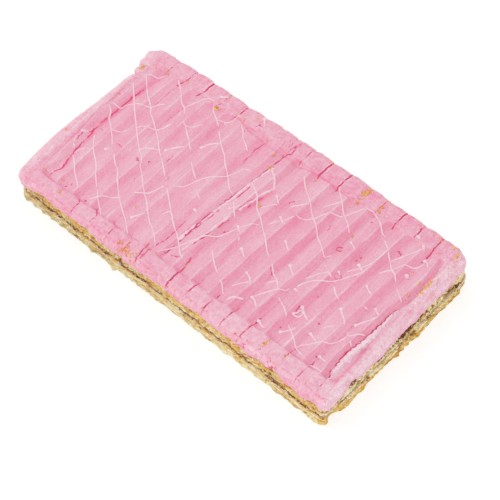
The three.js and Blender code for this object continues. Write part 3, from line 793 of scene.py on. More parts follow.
def end_holes(x, y, share):
    """How strong the painted shade of the holes is at the right end."""
    strength = np.zeros(np.shape(y))
    wandering = y + 0.5 * noise(y / 1.1, share * 3, 53)
    for middle, half, level, half_level, strong in END_HOLES:
        away = np.hypot((wandering - middle) / half, (share - level) / half_level)
        strength = np.maximum(strength, strong * np.clip(1.6 - 0.75 * away, 0, 1))
    return on_side(x, y, "right") * strength


def flakes(u, height, seed, crumbly):
    """Thin broken layers: long and thin bumps with finer crumbs on them."""
    u = u + grain(u, height, (1.2, 4.3, 1.5, seed + 5))
    return grain(u, height, (0.65 - crumbly, 4.1, 0.62, seed), (0.4, 1.3, 0.45, seed + 1),
                 (0.25 + crumbly, 0.5, 0.42, seed + 2))


def bottom_relief(x, y, share):
    """How far the lower sheet's side stands out at a share of its height."""
    wide = 0.4 * ripple(x + y, 6.5 + 5 * share, 21 + 3 * share)
    along_end = 0.5 * noise(y / 4.7, 1.5, 24) + 0.16 * noise(y / 1.3 + noise(y / 4, 8.5, 28), 4.5, 26)
    lumps = bumps(y, (0.5, 6.5, 1.6), (1.0, -2.2, 1.1), (0.5, -18, 1.2))
    cut_end = 0.9 * (along_end + lumps - 0.2) * (1 - share) - 0.7 * smooth(26, 31, y)
    cut_end = smooth(60, 63, x) * cut_end - 1.7 * smooth(58, 62, x) * bump(y, -31, 2.6)
    front_foot = (1 - smooth(-34, -31, y)) * (1 - smooth(0.1, 0.5, share))
    nubs = front_foot * bumps(x, (1.0, -30.6, 0.9), (1.5, -21.6, 1.3))
    return 0.2 + wide + 0.45 * (1 - share) ** 2 + 0.3 * smooth(0.6, 1, share) + cut_end + nubs


def top_relief(x, y, share):
    """How far the upper sheet's side stands out at a share of its height."""
    wide = 0.4 * ripple(x + 0.7 * y, 5.5 + 4 * share, 31 + 5 * share)
    tuck = -0.2 * smooth(0.55, 1, share) - 0.3 * (1 - smooth(0, 0.22, share))
    point = 1.5 * bump(y, 27.6, 1.2) * bump(share, 0.35, 0.4) - 0.7 * smooth(26, 31, y)
    return 0.25 + wide + tuck + smooth(60, 63, x) * point


def sheet_masks(x, y, share, height, texture, is_top):
    """Colour masks of a pastry sheet: golden, dark and light, the dark and the light partly painted shade
    and light.
    """
    u = x + y
    front, right = on_side(x, y, "front"), on_side(x, y, "right")
    patches = noise(u / 5, height / 2.2, 111 + is_top)
    flecks = noise(u / 0.8, height / 0.45, 113 + is_top)
    opening = seam_opening(x, y)
    uneven = 0.82 + 0.4 * noise(u / 0.7, height / 0.4, 115 + is_top)
    uneven = uneven + 0.3 * front * noise(u / 0.4, height / 0.3, 46)
    if is_top:
        crumbly = 0.9 * bump(x, 13, 1.5) + spans(
            x, (1, -61, -52, 1), (0.7, 18, 30, 2), (0.7, 35, 43, 1.5), (0.9, 57, 61, 1))
        golden = 0.56 + 0.4 * patches + 0.45 * flecks - 0.35 * right
        golden = golden + 0.55 * front * crumbly * smooth(0.35, 0.9, share)
        seam_dark = 1 - smooth(0.0, 0.05 + 0.13 * opening, share)
        speckled = np.clip(0.45 * noise(u / 3.5, 4.5, 45), 0, 0.3) + 0.14 * smooth(0.7, 1, share)
        specks = 0.34 + 0.24 * right + front * speckled
    else:
        golden = 0.12 + 0.35 * patches + 0.2 * flecks + 0.25 * front * smooth(0.55, 0.9, share)
        golden = golden + right * (1.3 * (1 - smooth(0.45, 0.8, share)) + 0.3 * patches)
        seam_dark = smooth(0.98 - 0.1 * opening, 1, share)
        specks = 0.36 + 0.22 * right * smooth(0.3, 0.6, share)
    # The dark along the seam is the jam's stain with painted shade in the gap between the sheets, stronger
    # where the seam gapes.
    seam_dark = seam_dark * (0.55 + 0.6 * opening) * (1 - 0.5 * right)
    holes = end_holes(x, y, share) if is_top else 0
    # Painted shade in the seam and the holes, and in the low parts of the flakes over brown specks.
    dark = np.maximum(uneven * np.maximum(seam_dark, holes), specks - 0.45 * texture)
    grains = right * noise(u / 0.45, height / 0.4, 52)
    # The raised parts of the flakes are lighter: painted light.
    light = 0.5 + 0.7 * texture + 0.2 * patches + 0.55 * grains + 0.12 * right
    return np.clip(np.stack([golden, dark, light], -1), 0, 1)


def make_slab(name, node, material, sides, flats):
    """A layer from rings round its side, each given as the outline's places and
    outward directions, how far it stands out, height and masks, and from two flat
    faces, each given as height and masks."""
    skin = Skin()
    rings = []
    for x, y, out_x, out_y, push, height, masks in sides:
        rings.append(skin.add(np.stack([x + push * out_x, y + push * out_y, height], -1), masks))
        if len(rings) > 1:
            skin.band(rings[-2], rings[-1])
    inner_x, inner_y = x * (1 - RIM_WIDTH / SHEET_RIGHT), y * (1 - RIM_WIDTH / SHEET_BACK)
    low, high = (skin.add(np.stack([inner_x, inner_y, height + 0 * x], -1), masks)
                 for height, masks in flats)
    skin.band(low, rings[0])
    skin.band(rings[-1], high)
    skin.cover(low, False)
    skin.cover(high, True)
    return skin.piece(name, material, node)


def sheet_sides(is_top):
    """The rings round a pastry sheet's flaky side, between two wavy rims."""
    outline = x, y, _, _ = sheet_outline(0.45 if is_top else 0)
    half_gap = 0.08 + 0.2 * seam_opening(x, y)
    if is_top:
        low, high = seam_height(x, y) + half_gap, icing_edge_height(x, y) - 0.12
        levels, relief, seed, crumbly, strength = 22, top_relief, 121, 0.35, 0.42
    else:
        low = 0.25 * np.clip(noise((x + y) / 1.2, 7.5, 104) + 0.1, 0, 1) * on_side(x, y, "right")
        high = seam_height(x, y) - half_gap
        levels, relief, seed, crumbly, strength = 18, bottom_relief, 131, 0.2, 0.26
    for share in np.arange(levels + 1) / levels:
        height = low + (high - low) * share
        wavy_height = height + 0.12 * noise((x + y) / 2, 3.5, 105)
        texture = flakes(x + y, wavy_height, seed, crumbly)
        masks = sheet_masks(x, y, share, height, texture, is_top)
        push = relief(x, y, share) + strength * texture - 0.5 * smooth(0.6, 0.9, masks[:, 1])
        push = push - 0.25 * (share < 0.02) - 0.15 * (share > 0.98)
        yield *outline, push, height, masks


def jam_sides():
    """The rings round the jam, a thin layer that draws back unevenly."""
    outline = x, y, _, _ = sheet_outline(0.25)
    half = 0.11 + 0.22 * seam_opening(x, y)
    for share in np.linspace(-1, 1, 7):
        height = seam_height(x, y) + share * half
        texture = noise((x + y) / 0.9, height / 0.5, 141)
        push = 0.3 * ripple(x + y, 11.5, 24) + 0.12 * texture - 0.05 - 0.2 * share
        crumby = np.clip(on_side(x, y, "right") * (1 + 0.4 * texture), 0, 1)
        yield *outline, push, height, np.stack([crumby, 0 * x, 0 * x], -1)


# -------------------- the drizzle

# The drizzle's strands, each as the x and y in turn of the places that it passes.
# The strands of the second group start in a drop.
THREADS = (
    (-57.8, 21.9, -56.6, 23.1, -54.3, 23.7, -53.5, 24.6, -53.2, 26.3), (-57.8, 21.9, -59.5, 20.7),
    (-57.8, 21.9, -54.9, 19, -52, 16.1, -48, 13.4, -46.6, 11.5, -43.3, 9.4, -41, 7.8, -37.8, 5.3,
    -34.9, 2.5, -31.2, -0.2, -26.6, -3.9),
    (-23.3, -6.8, -20.3, -9.3, -16.4, -12.7, -12.8, -15.6, -9.5, -17.7, -6.2, -20.4, -4.5, -22.3,
    -2, -23.5),
    (-59.3, 17.3, -56.6, 14.6, -53, 10.9, -49.5, 7.5, -46, 4.2, -43.3, 1.7, -39.7, -1.4, -36.6, -3.5,
    -35.3, -6, -33, -7.7),
    (-33, -7.7, -29.9, -10.6, -27.4, -12.7, -24.9, -14.5, -21.4, -17.7, -18.7, -20, -17.2, -20.6,
    -14.1, -22.9, -11.8, -25),
    (-58.5, 5.2, -56.6, 4, -55.5, 1.7, -53, -0.2, -51.6, -1.4, -49.9, -2.9, -47.6, -5.4),
    (-54.3, -6.2, -52, -9.3, -49.9, -11.4, -46.8, -13.7, -44.9, -15.6, -43.7, -17.3, -40.1, -20.6),
    (-39.1, -21.2, -37, -23.5, -34.1, -25.8, -31.6, -27.9),
    (-44.7, -7.7, -42, -10.2, -39.9, -11.2, -37, -14.5, -32.4, -18.9, -28.7, -21.6, -25.3, -23.7,
    -22.8, -26, -20.8, -27.5),
    (-54.5, -16.2, -52.4, -17.7, -49.5, -20.6, -46.6, -22.7, -44.1, -24.8),
    (-48.7, 27.3, -47, 25.9, -44.1, 23.4, -42, 21.1, -39.9, 20.3, -38, 18),
    (-33.7, 28, -36.2, 27.5, -37.4, 26.3, -38.9, 22.8, -39.9, 20.7),
    (-33.7, 27.3, -32, 25, -28.9, 23.1, -26.8, 21.6),
    (-25.8, 20.7, -24, 18.8, -21.6, 16.7, -17.8, 14.2, -15.8, 11.9, -12, 9, -9.9, 6.7, -7.8, 5, -6, 4.8),
    (-28.9, 23.1, -26.6, 24.2, -25.1, 25, -24.5, 27.3, -24.3, 29.4), (-26.6, 24.2, -25.5, 23.6),
    (-21.6, 26.5, -19.9, 25.5, -18, 23, -16.2, 22.1, -13.5, 20),
    (-58.5, 6.7, -55.1, 6.9, -54.7, 8.8, -52.8, 11.1, -51, 12.1, -48, 13.4, -47.2, 15.3, -45.3, 17.3),
    (-46, 4.2, -45.3, 5.7, -43.3, 6.9, -41, 7.8, -39.5, 9.8, -38.7, 12.8),
    (-36.6, 15.7, -34.9, 15, -32.8, 16.1, -31, 19),
    (-34.9, 15, -32.8, 13.2, -30.3, 11.5, -28.7, 9.8, -27.2, 9), (-39.9, -1.8, -38.7, 0.2, -34.9, 2.5),
    (-22.4, -5.2, -19.9, -3.1, -18.7, -0.2, -18, 1.5, -16.2, 4.4, -14.1, 6.5, -12, 9, -10.8, 11.9,
    -9.9, 14.4, -7.8, 14.8),
    (-24.3, 5.7, -22, 3.8, -18.9, 1.7), (-16, -1.2, -14.5, -2.5, -12.6, -3.3),
    (-29.9, -15, -27.8, -12.9, -26.4, -11.8, -25.3, -9.3, -24.3, -6.8),
    (-38.7, -25.6, -37.2, -23.5, -36.2, -21.8, -33.3, -20, -32, -19.1),
    (-18, -15.6, -17.4, -13.7, -16.2, -12.7), (-54.5, -15.6, -53.9, -13.1, -51.6, -11),
    (-51.4, -1.4, -48.7, 0, -47.6, 2.8),
    (-9.1, -25.4, -7.8, -23.1, -6.2, -20.4, -4.9, -18.1, -3.5, -14.8, -2, -12.3, 0, -10.6, 1.5, -8, 3, -5,
    4, -2.8, 5.8, 0, 7.3, 1.5),
    (-4.5, 3.2, -2.8, 1.1, -0.3, -1.4), (-1.2, 3.6, -2, 1.9, -3.9, -0.6),
    (-5.1, 12.1, -2.4, 10.5, 0, 9, 3, 5.2, 6.3, 3.2, 9.3, 0.7, 12.4, -1.8, 15.1, -4.3, 17.2, -5.8),
    (-3.8, 20, -1.5, 18.4, 0.7, 16.8),
    (6.3, 24.6, 7, 23.2, 9.3, 21.1, 12.2, 19, 14.5, 17.3, 16.3, 15.5, 18.6, 13.6, 20.9, 12.1, 23.8, 9.4,
    27.2, 7.1, 30.1, 5, 31.1, 7.3),
    (17.4, 27.8, 18.8, 26.3, 21.1, 24.4, 23, 22.5, 25.1, 20.7, 28, 18.8, 30.3, 16.7),
    (28.4, 27.1, 31.3, 27.5, 33.8, 26.5, 35.9, 25, 38, 23.2, 39.3, 23.2),
    (39.9, 21.9, 41.1, 20.9, 43, 19.6, 44.9, 17.8, 46.1, 16.9, 48, 14.8, 50.5, 13.6, 52.2, 11.9),
    (28.2, 26.9, 27.2, 24.4, 25.1, 20.7), (18, 19, 20.1, 21.9, 21.3, 24.2),
    (10.1, 12.3, 12.4, 15, 14.5, 17.3),
    (13.6, 11.1, 15.9, 11.5, 17.8, 12.8, 19, 14, 20.9, 18.6, 23.4, 19.6, 25.1, 20.5),
    (3.4, 6.1, 4.9, 8.2, 7, 10.7), (9.3, 3.2, 10.5, 5.3, 12.6, 7.8, 13.6, 10.7), (5.7, -6.2, 6.5, -7.5),
    (15.3, -21, 16.8, -18.9, 18.8, -16.6), (2.6, -15.2, 4.3, -16.8, 6.3, -18.5, 8, -19.5, 9.5, -20.6),
    (11.3, -22, 13, -22.5, 14, -23.7, 15.3, -24.8), (22.2, -14, 22.6, -13.1, 24.7, -10.8),
    (19.7, -7.3, 21.8, -9.3, 24.7, -10.8, 26.8, -13.1),
    (22.6, -19.8, 24.7, -16.4, 26.8, -13.1, 28.8, -11.8, 29.3, -10.2),
    (28.6, -14.8, 31.3, -16.2, 33.4, -17.5, 35.1, -18.9),
    (36.8, -20.4, 39, -21.6, 41.8, -23.5, 43.8, -25, 47.2, -26.4),
    (30.3, -8.9, 31.3, -6, 33.4, -3.5, 36.3, -1.2, 38, 0.7, 40.1, 4, 42.2, 7.3, 42.8, 9),
    (30.3, -4.8, 32.6, -1, 34.5, 1.7, 36.3, 0.7), (32, 3.2, 33.4, 2.1),
    (38.4, 5.3, 40.5, 8.2, 42.4, 11.5, 43, 14.4, 43.2, 19.4), (38.8, -1.2, 41.3, -3.3, 43.2, -4.1),
    (51.8, -11, 53.4, -12.3, 54.3, -11.2, 55.9, -9.1, 57.2, -8.5), (54.7, -13.1, 56.3, -14.3),
    (53.4, -12.5, 52.2, -15.2, 50.9, -17.5, 48.8, -18.7, 47.6, -20.2, 45.9, -22.3, 44.3, -23.5,
    43.6, -25.6),
    (45.5, -15.2, 46.8, -13.1, 48, -12.3),
    (45.9, 11.1, 48.6, 14.4, 50.5, 18.6, 53, 19.4, 54.3, 21.1, 54.7, 22.8),
    (46.1, 16.9, 47.6, 19.4, 50.1, 24.4, 50.9, 26.5), (53.8, 10.3, 55.5, 9, 58, 7.3),
    (55.5, 26.1, 55.4, 24), (50.3, -1, 51.8, -1),
)

DROP_THREADS = (
    (-33.7, 3.4, -32, 5.9, -29.5, 8.6), (-25.8, 11.3, -24.5, 14, -22, 16.7),
    (-24.3, -22.7, -22.8, -19.8, -21.4, -17.9), (-48.2, -8.5, -47.2, -6.6), (-58.6, -8, -57, -6.3),
    (-12, -7.2, -10.5, -7.5), (-17.6, 33.2, -15.3, 30.5), (-33.7, 30.2, -31.2, 32.3), (4.3, 13, 7, 10.9),
    (10.1, 7.8, 13, 5.9), (17, 2.1, 20.5, -0.6), (23.6, -3.7, 27.2, -6.4), (2.4, -3.1, 4.7, -5),
    (8.4, -8.5, 10.1, -9.8, 12, -11.2), (15.1, -14.1, 18, -15.6, 19.7, -17.5),
    (22, -19.8, 24.3, -20.6, 26.1, -22.3), (29, -24.8, 32, -26.4, 32.8, -26),
    (21.1, -22.3, 18.4, -24.1, 17.6, -26), (30.1, -9.3, 32.4, -10), (36.3, 4, 37.6, 3.2),
    (39.3, 9.8, 42.6, 8), (32.4, 14.6, 35.7, 12.8), (45.9, 5.5, 47.8, 4.2, 49.7, 3.4),
    (53, 0.9, 54.3, -0.2, 56.1, -1), (52.2, -8.1, 55.1, -3.5, 56.1, -1.2),
    (45.1, -5.6, 46.5, -7, 48.4, -8.3, 50.1, -9.8), (37.2, -13.9, 40.9, -16),
    (43.6, -18.3, 45.5, -19.1, 47.6, -20.2), (50.7, -22.7, 54.3, -23.7),
    (36.5, -24.3, 39, -21.6, 39.7, -19.8), (53.4, 23.8, 55.1, 23.6, 56.3, 22.1), (50.3, 27.5, 51.8, 26.3),
    (46.8, 29, 48.6, 28.6), (52.8, 16.6, 53.3, 15.3, 54, 15.6),
    (35.9, -12.9, 37.4, -13.3, 36.5, -14.3, 36.3, -15.8, 35.3, -16.7, 37.6, -16.6, 38.2, -15.2,
    37.6, -14.3),
)

THREAD_WIDTH, THREAD_SIDES, THREAD_STEP = 0.25, 8, 0.33
DRIZZLE_SEED = 17
# High above the slice, where the search for the surface below starts, in metres.
ABOVE_ALL = 0.05


def rounded_path(strand):
    """Close places along straight runs whose kinks are rounded off."""
    path = np.array(strand, float).reshape(-1, 2)
    lengths = np.concatenate([[0], np.cumsum(np.hypot(*np.diff(path, axis=0).T))])
    marks = np.linspace(0, lengths[-1], max(3, int(round(lengths[-1] / THREAD_STEP)) + 1))
    places = np.stack([np.interp(marks, lengths, path[:, axis]) for axis in (0, 1)], -1)
    for _ in range(3):
        places[1:-1] = 0.25 * places[:-2] + 0.5 * places[1:-1] + 0.25 * places[2:]
    return places


def surface_height(tree, x, y):
    """The height of the surface below a place of the drawing, in millimetres."""
    start = Vector(((x - ORIGIN[0]) * MM, (y - ORIGIN[1]) * MM, ABOVE_ALL))
    hit = tree.ray_cast(start, Vector((0, 0, -1)))[0]
    return hit.z / MM if hit else None


def thread_width(along, has_drop, drop, rng):
    """The width of a strand at each place: wider in a drop, tapered at its ends."""
    width = THREAD_WIDTH * (1 + 0.35 * noise(along / 1.6, rng.uniform(0, 99), 151))
    taper = np.sqrt(np.clip((along[-1] - along) / 0.8, 0.02, 1))
    if has_drop:
        return width * (1.25 + 1.35 * drop) * taper * np.sqrt(np.clip((along + 0.1) / 0.45, 0.05, 1))
    return width * taper * np.sqrt(np.clip(along / 0.8, 0.02, 1))


def add_thread(skin, tree, strand, has_drop, rng):
    """Lays one strand on the icing: a low round tube with tapered ends."""
    places = rounded_path(strand)
    heights = [surface_height(tree, *place) for place in places]
    if None in heights:
        return
    heights = np.maximum(heights, np.convolve(np.pad(heights, 1, mode="edge"), [0.25, 0.5, 0.25], "valid"))
    direction = np.gradient(places, axis=0)
    direction /= np.maximum(np.hypot(*direction.T), 1e-6)[:, None]
    along = np.arange(len(places)) * THREAD_STEP
    drop = bump(along, 0.4, 0.5) * has_drop
    width = thread_width(along, has_drop, drop, rng)
    angles = 2 * math.pi * np.arange(THREAD_SIDES) / THREAD_SIDES
    rings = []
    for i, place in enumerate(places):
        offset = np.cos(angles)[:, None] * width[i] * np.array([-direction[i, 1], direction[i, 0]])
        tall = 0.6 * min(width[i], 0.3 + 0.42 * width[i])
        points = np.column_stack([place + offset, heights[i] + tall * np.sin(angles) + 0.1 * width[i]])
        rings.append(skin.add(points, (rng.uniform(0.3, 0.7) + 0.4 * drop[i], 0, 0.5)))
    for before, after in zip(rings, rings[1:]):
        skin.quads(before, after, np.roll(after, -1), np.roll(before, -1))
    skin.cover(rings[0], True)
    skin.cover(rings[-1], False)


def make_drizzle(tree, material):
    skin = Skin()
    rng = np.random.default_rng(DRIZZLE_SEED)
    for strands, has_drop in ((THREADS, False), (DROP_THREADS, True)):
        for strand in strands:
            add_thread(skin, tree, strand, has_drop, rng)
    return skin.piece("pale_drizzle", material)


# -------------------- the crumbs

# Golden crumbs on the icing: middle of the cluster, how far they scatter along
# and across the slice, how many, and their size.
CRUMB_CLUSTERS = (
    (-16.8, -32.6, 2.6, 1.6, 46, 0.36), (25.0, 31.2, 0.6, 2.0, 26, 0.42), (24.9, 27.0, 0.4, 0.6, 7, 0.36),
    (32.3, 30.5, 0.4, 2.2, 16, 0.36), (-31.7, 27.0, 0.6, 0.7, 9, 0.42), (-31.5, 31.5, 0.4, 0.5, 4, 0.3),
    (-25.2, 29.5, 0.3, 0.6, 3, 0.28), (-53.4, 28.0, 0.8, 0.6, 7, 0.3), (-53.9, 26.4, 0.3, 0.4, 3, 0.28),
    (-60.5, 23.0, 0.6, 1.4, 14, 0.36), (-21.8, 28.5, 0.5, 0.6, 6, 0.28), (-18.9, 31.7, 0.3, 0.3, 2, 0.3),
    (-4.3, 20.2, 0.5, 0.7, 10, 0.36), (-6.4, 23.9, 0.4, 0.5, 5, 0.4), (10.1, 25.4, 0.2, 0.2, 3, 0.34),
    (9.6, 33.2, 0.2, 0.5, 3, 0.34), (2.5, 7.0, 0.4, 0.4, 6, 0.38), (60.4, 16.0, 0.6, 2.6, 34, 0.4),
    (57.8, 15.8, 0.3, 0.4, 3, 0.34), (57.9, 10.8, 0.3, 0.4, 4, 0.38), (60.5, 31.0, 0.7, 0.9, 12, 0.34),
    (58.8, 33.4, 0.7, 0.5, 9, 0.34), (64.0, 26.0, 0.3, 0.5, 3, 0.34), (63.4, 15.5, 0.3, 0.4, 3, 0.34),
    (-62.2, -10.5, 0.3, 0.4, 3, 0.3), (-25.9, -18.1, 0.4, 0.4, 4, 0.34),
    (-47.0, -29.7, 0.5, 0.4, 6, 0.32), (36.4, -30.0, 0.25, 1.0, 9, 0.36),
    (43.7, -29.5, 0.25, 0.7, 6, 0.3), (-50.2, -25.4, 0.5, 0.5, 4, 0.3), (-56.5, -26.0, 0.4, 0.4, 3, 0.3),
    (31.6, 17.0, 0.3, 0.6, 4, 0.32), (23.7, 24.5, 0.2, 0.2, 2, 0.3), (-53.1, 13.8, 0.2, 0.2, 1, 0.34),
    (-59.2, 10.4, 0.2, 0.2, 1, 0.32), (-40.8, -10.4, 0.3, 0.2, 2, 0.26), (-0.1, -24.5, 0.2, 0.3, 3, 0.3),
    (-45.6, 28.2, 0.3, 0.5, 4, 0.28), (-57.6, 26.2, 0.4, 0.2, 2, 0.28), (59.4, 21.8, 0.3, 0.3, 3, 0.32),
    (53.9, 17.6, 0.3, 0.4, 3, 0.3), (57.2, -11.3, 0.2, 0.2, 2, 0.3), (0.0, -33.4, 60.0, 0.8, 110, 0.22),
    (61.6, 24.0, 0.8, 7.0, 10, 0.28), (-10.3, 27.6, 0.2, 0.2, 2, 0.26), (9.4, 20.6, 0.2, 0.2, 2, 0.24),
    (49.0, 32.5, 9.0, 0.9, 12, 0.26), (-9.6, -27.2, 0.2, 0.2, 2, 0.26),
)
# Crumbs that scatter further than this lie evenly, and others round the middle.
EVEN_SPREAD = 5
CRUMB_SEED = 29


def crumb_shape(rng):
    """An irregular little lump: a rough ball of three squeezed rings."""
    points = [(0, 0, -0.7)]
    for level, size in ((-0.4, 0.75), (0.1, 1.0), (0.55, 0.7)):
        for step in range(6):
            angle = 2 * math.pi * (step + 0.5 * (size == 1.0)) / 6
            radius = size * rng.uniform(0.7, 1.2)
            points.append((radius * math.cos(angle), radius * math.sin(angle), level))
    points.append((0, 0, 0.85))
    faces = [(0, 1 + (k + 1) % 6, 1 + k) for k in range(6)]
    for ring in (1, 7):
        for k in range(6):
            after = (k + 1) % 6
            faces.append((ring + k, ring + after, ring + 6 + after))
            faces.append((ring + k, ring + 6 + after, ring + 6 + k))
    faces += [(13 + k, 13 + (k + 1) % 6, 19) for k in range(6)]
    return np.array(points), faces


def make_crumbs(tree, material):
    skin = Skin()
    rng = np.random.default_rng(CRUMB_SEED)
    for middle_x, middle_y, spread_x, spread_y, count, size in CRUMB_CLUSTERS:
        for _ in range(count):
            if spread_x > EVEN_SPREAD:
                x = middle_x + rng.uniform(-spread_x, spread_x)
            else:
                x = middle_x + spread_x * rng.normal() * 0.7
            y = middle_y + spread_y * rng.normal() * 0.7
            if spread_y > EVEN_SPREAD:
                y = middle_y + rng.uniform(-spread_y, spread_y)
            height = surface_height(tree, x, y)
            if height is None:
                continue
            points, faces = crumb_shape(rng)
            scale = size * rng.uniform(0.5, 1.15) * np.array([1.25, 1.0, 0.6])
            turn = Matrix.Rotation(rng.uniform(0, 2 * math.pi), 3, "Z")
            places = (points * scale) @ np.array(turn).T + np.array([x, y, height + 0.1 * size])
            paler_at_end = 0.35 if x > 56 else 0
            numbers = skin.add(places, (paler_at_end + rng.uniform(0, 1), 0, 0))
            skin.faces.extend(numbers[list(face)].tolist() for face in faces)
    return skin.piece("golden_crumbs", material)


# -------------------- materials

def colour(red, green, blue):
    """A colour as seen on a screen, 0 to 255, as the shader wants it."""
    return tuple(((v / 255 + 0.055) / 1.055) ** 2.4 for v in (red, green, blue)) + (1.0,)


class Shader:
    """A material whose nodes are added one by one."""

    def __init__(self, name, roughness, specular):
        self.material = bpy.data.materials.new(name)
        self.material.use_nodes = True
        self.tree = self.material.node_tree
        self.surface = self.tree.nodes["Principled BSDF"]
        self.surface.inputs["Roughness"].default_value = roughness
        self.surface.inputs["Specular IOR Level"].default_value = specular
        self.place = self.node("TexCoord", {}).outputs["Object"]
        masks = self.node("Attribute", {}, attribute_name="masks").outputs["Color"]
        self.red, self.green, self.blue = self.node("SeparateColor", {0: masks}).outputs[:3]

    def node(self, kind, inputs, **settings):
        """Adds a node, with links or plain values for its inputs."""
        node = self.tree.nodes.new("ShaderNode" + kind)
        for name, value in settings.items():
            setattr(node, name, value)
        for key, value in inputs.items():
            if isinstance(value, bpy.types.NodeSocket):
                self.tree.links.new(value, node.inputs[key])
            else:
                node.inputs[key].default_value = value
        return node

    def noise(self, size_mm, detail, stretch=(1, 1, 1)):
        """Random texture with bumps of a size in millimetres, stretched by axis."""
        scale = [1 / (size_mm * MM * s) for s in stretch]
        place = self.node("Mapping", {"Vector": self.place, "Scale": scale}).outputs[0]
        inputs = {"Vector": place, "Scale": 1.0, "Detail": detail, "Roughness": 0.6}
        return self.node("TexNoise", inputs).outputs["Fac"]

    def maths(self, operation, *values, clamp=False):
        inputs = dict(enumerate(values))
        return self.node("Math", inputs, operation=operation, use_clamp=clamp).outputs[0]

    def centred(self, texture, amount):
        """A texture turned into a swing of half the amount to either side of 0."""
        return self.maths("MULTIPLY_ADD", texture, amount, -amount / 2)

    def ramp(self, value, *stops):
        """Colours by value, each given as the value and its red, green and blue."""
        node = self.node("ValToRGB", {0: value})
        elements = node.color_ramp.elements
        while len(elements) < len(stops):
            elements.new(0.5)
        for element, (place, *tint) in zip(elements, stops):
            element.position, element.color = place, colour(*tint)
        return node.outputs[0]

    def mix(self, share, first, second):
        return self.node("Mix", {0: share, 6: first, 7: second}, data_type="RGBA").outputs[2]

    def crisp(self, mask, texture, fraying, low, high):
        """A mask cut off between two levels, with an edge that a texture frays."""
        frayed = self.maths("ADD", mask, self.centred(texture, fraying))
        inputs = {"Value": frayed, "From Min": low, "From Max": high}
        return self.node("MapRange", inputs, interpolation_type="SMOOTHSTEP").outputs[0]

    def finish(self, tint, height, depth_mm, strength):
        """Links the colour and the fine relief, and gives the material."""
        inputs = {"Height": height, "Distance": depth_mm * MM, "Strength": strength}
        bump_node = self.node("Bump", inputs)
        self.tree.links.new(bump_node.outputs[0], self.surface.inputs["Normal"])
        self.tree.links.new(tint, self.surface.inputs["Base Color"])
        return self.material


def icing_material():
    shader = Shader("pink_icing", 0.7, 0.2)
    strokes, grains = shader.noise(0.5, 3, (1, 14, 6)), shader.noise(0.5, 2)
    powder, clouds = shader.noise(0.3, 1), shader.noise(7, 3)
    tone = shader.red
    for texture, amount in ((strokes, 0.55), (grains, 0.65), (powder, 0.85), (clouds, 0.35)):
        tone = shader.maths("ADD", tone, shader.centred(texture, amount))
    pink = shader.ramp(tone, (0.0, 237, 140, 170), (0.225, 238, 160, 184), (0.45, 238, 177, 196),
                       (0.75, 240, 197, 210), (1.0, 242, 216, 224))
    crumbly = shader.ramp(powder, (0.38, 230, 168, 188), (0.58, 249, 231, 238))
    core = shader.crisp(shader.blue, powder, 0.4, 0.82, 1.0)
    crumbly = shader.mix(core, crumbly, colour(245, 220, 229))
    tint = shader.mix(shader.crisp(shader.blue, powder, 0.5, 0.66, 0.78), pink, crumbly)
    # The dark mask's deep pink is painted shade in the cracks, scratches, pits and rings, and the painted
    # shadows beside the lips.
    painted_shade = shader.crisp(shader.green, powder, 0.5, 0.66, 0.8)
    tint = shader.mix(painted_shade, tint, colour(228, 84, 128))
    relief = shader.maths("ADD", grains, shader.maths("MULTIPLY", strokes, 0.6))
    relief = shader.maths("ADD", relief, shader.maths("MULTIPLY", powder, 0.6))
    return shader.finish(tint, relief, 0.2, 0.9)


def grain_material(name, roughness, specular, grain_size, stops, depth, strength):
    """A material whose tone is half the red mask and half a fine grain."""
    shader = Shader(name, roughness, specular)
    grains = shader.noise(grain_size, 2)
    tone = shader.maths("ADD", shader.maths("MULTIPLY", grains, 0.5),
                        shader.maths("MULTIPLY", shader.red, 0.5))
    return shader.finish(shader.ramp(tone, *stops), grains, depth, strength)


def pastry_material(name, light, crumbly):
    """Flaky pastry: cream to golden brown, with dark gaps between the crumbs painted as shade."""
    shader = Shader(name, 0.8, 0.2)
    layers, crumb = shader.noise(0.6, 3, (3.0, 3.0, 0.7)), shader.noise(0.4, 2)
    tone = shader.maths("ADD", shader.centred(layers, 1.0), shader.centred(crumb, crumbly))
    # The light mask lightens the raised flakes: painted light.
    tone = shader.maths("ADD", tone, shader.centred(shader.blue, 0.75))
    tone = shader.maths("ADD", tone, 0.5 + light, clamp=True)
    plain = shader.ramp(tone, (0.0, 164, 108, 66), (0.25, 207, 160, 102), (0.5, 228, 201, 142),
                        (0.75, 239, 220, 171), (1.0, 248, 238, 212))
    golden = shader.ramp(tone, (0.0, 156, 104, 34), (0.35, 212, 152, 54), (0.65, 228, 180, 82),
                         (1.0, 240, 213, 146))
    tint = shader.mix(shader.crisp(shader.red, crumb, 0.6, 0.15, 0.95), plain, golden)
    # The dark mask's brown is painted shade in the gaps, holes and seam, over the jam's stain and brown
    # specks.
    gaps = shader.crisp(shader.green, crumb, 0.8, 0.62, 0.82)
    tint = shader.mix(gaps, tint, colour(122, 64, 44))
    return shader.finish(tint, shader.maths("ADD", layers, crumb), 0.3, 0.9)


def jam_material():
    shader = Shader("raspberry_jam", 0.4, 0.5)
    clots = shader.noise(0.45, 2)
    tint = shader.ramp(clots, (0.34, 112, 60, 44), (0.5, 158, 104, 74), (0.64, 206, 166, 114))
    tint = shader.mix(shader.red, tint, colour(196, 158, 106))
    return shader.finish(tint, clots, 0.2, 0.6)


# -------------------- camera, light, floor

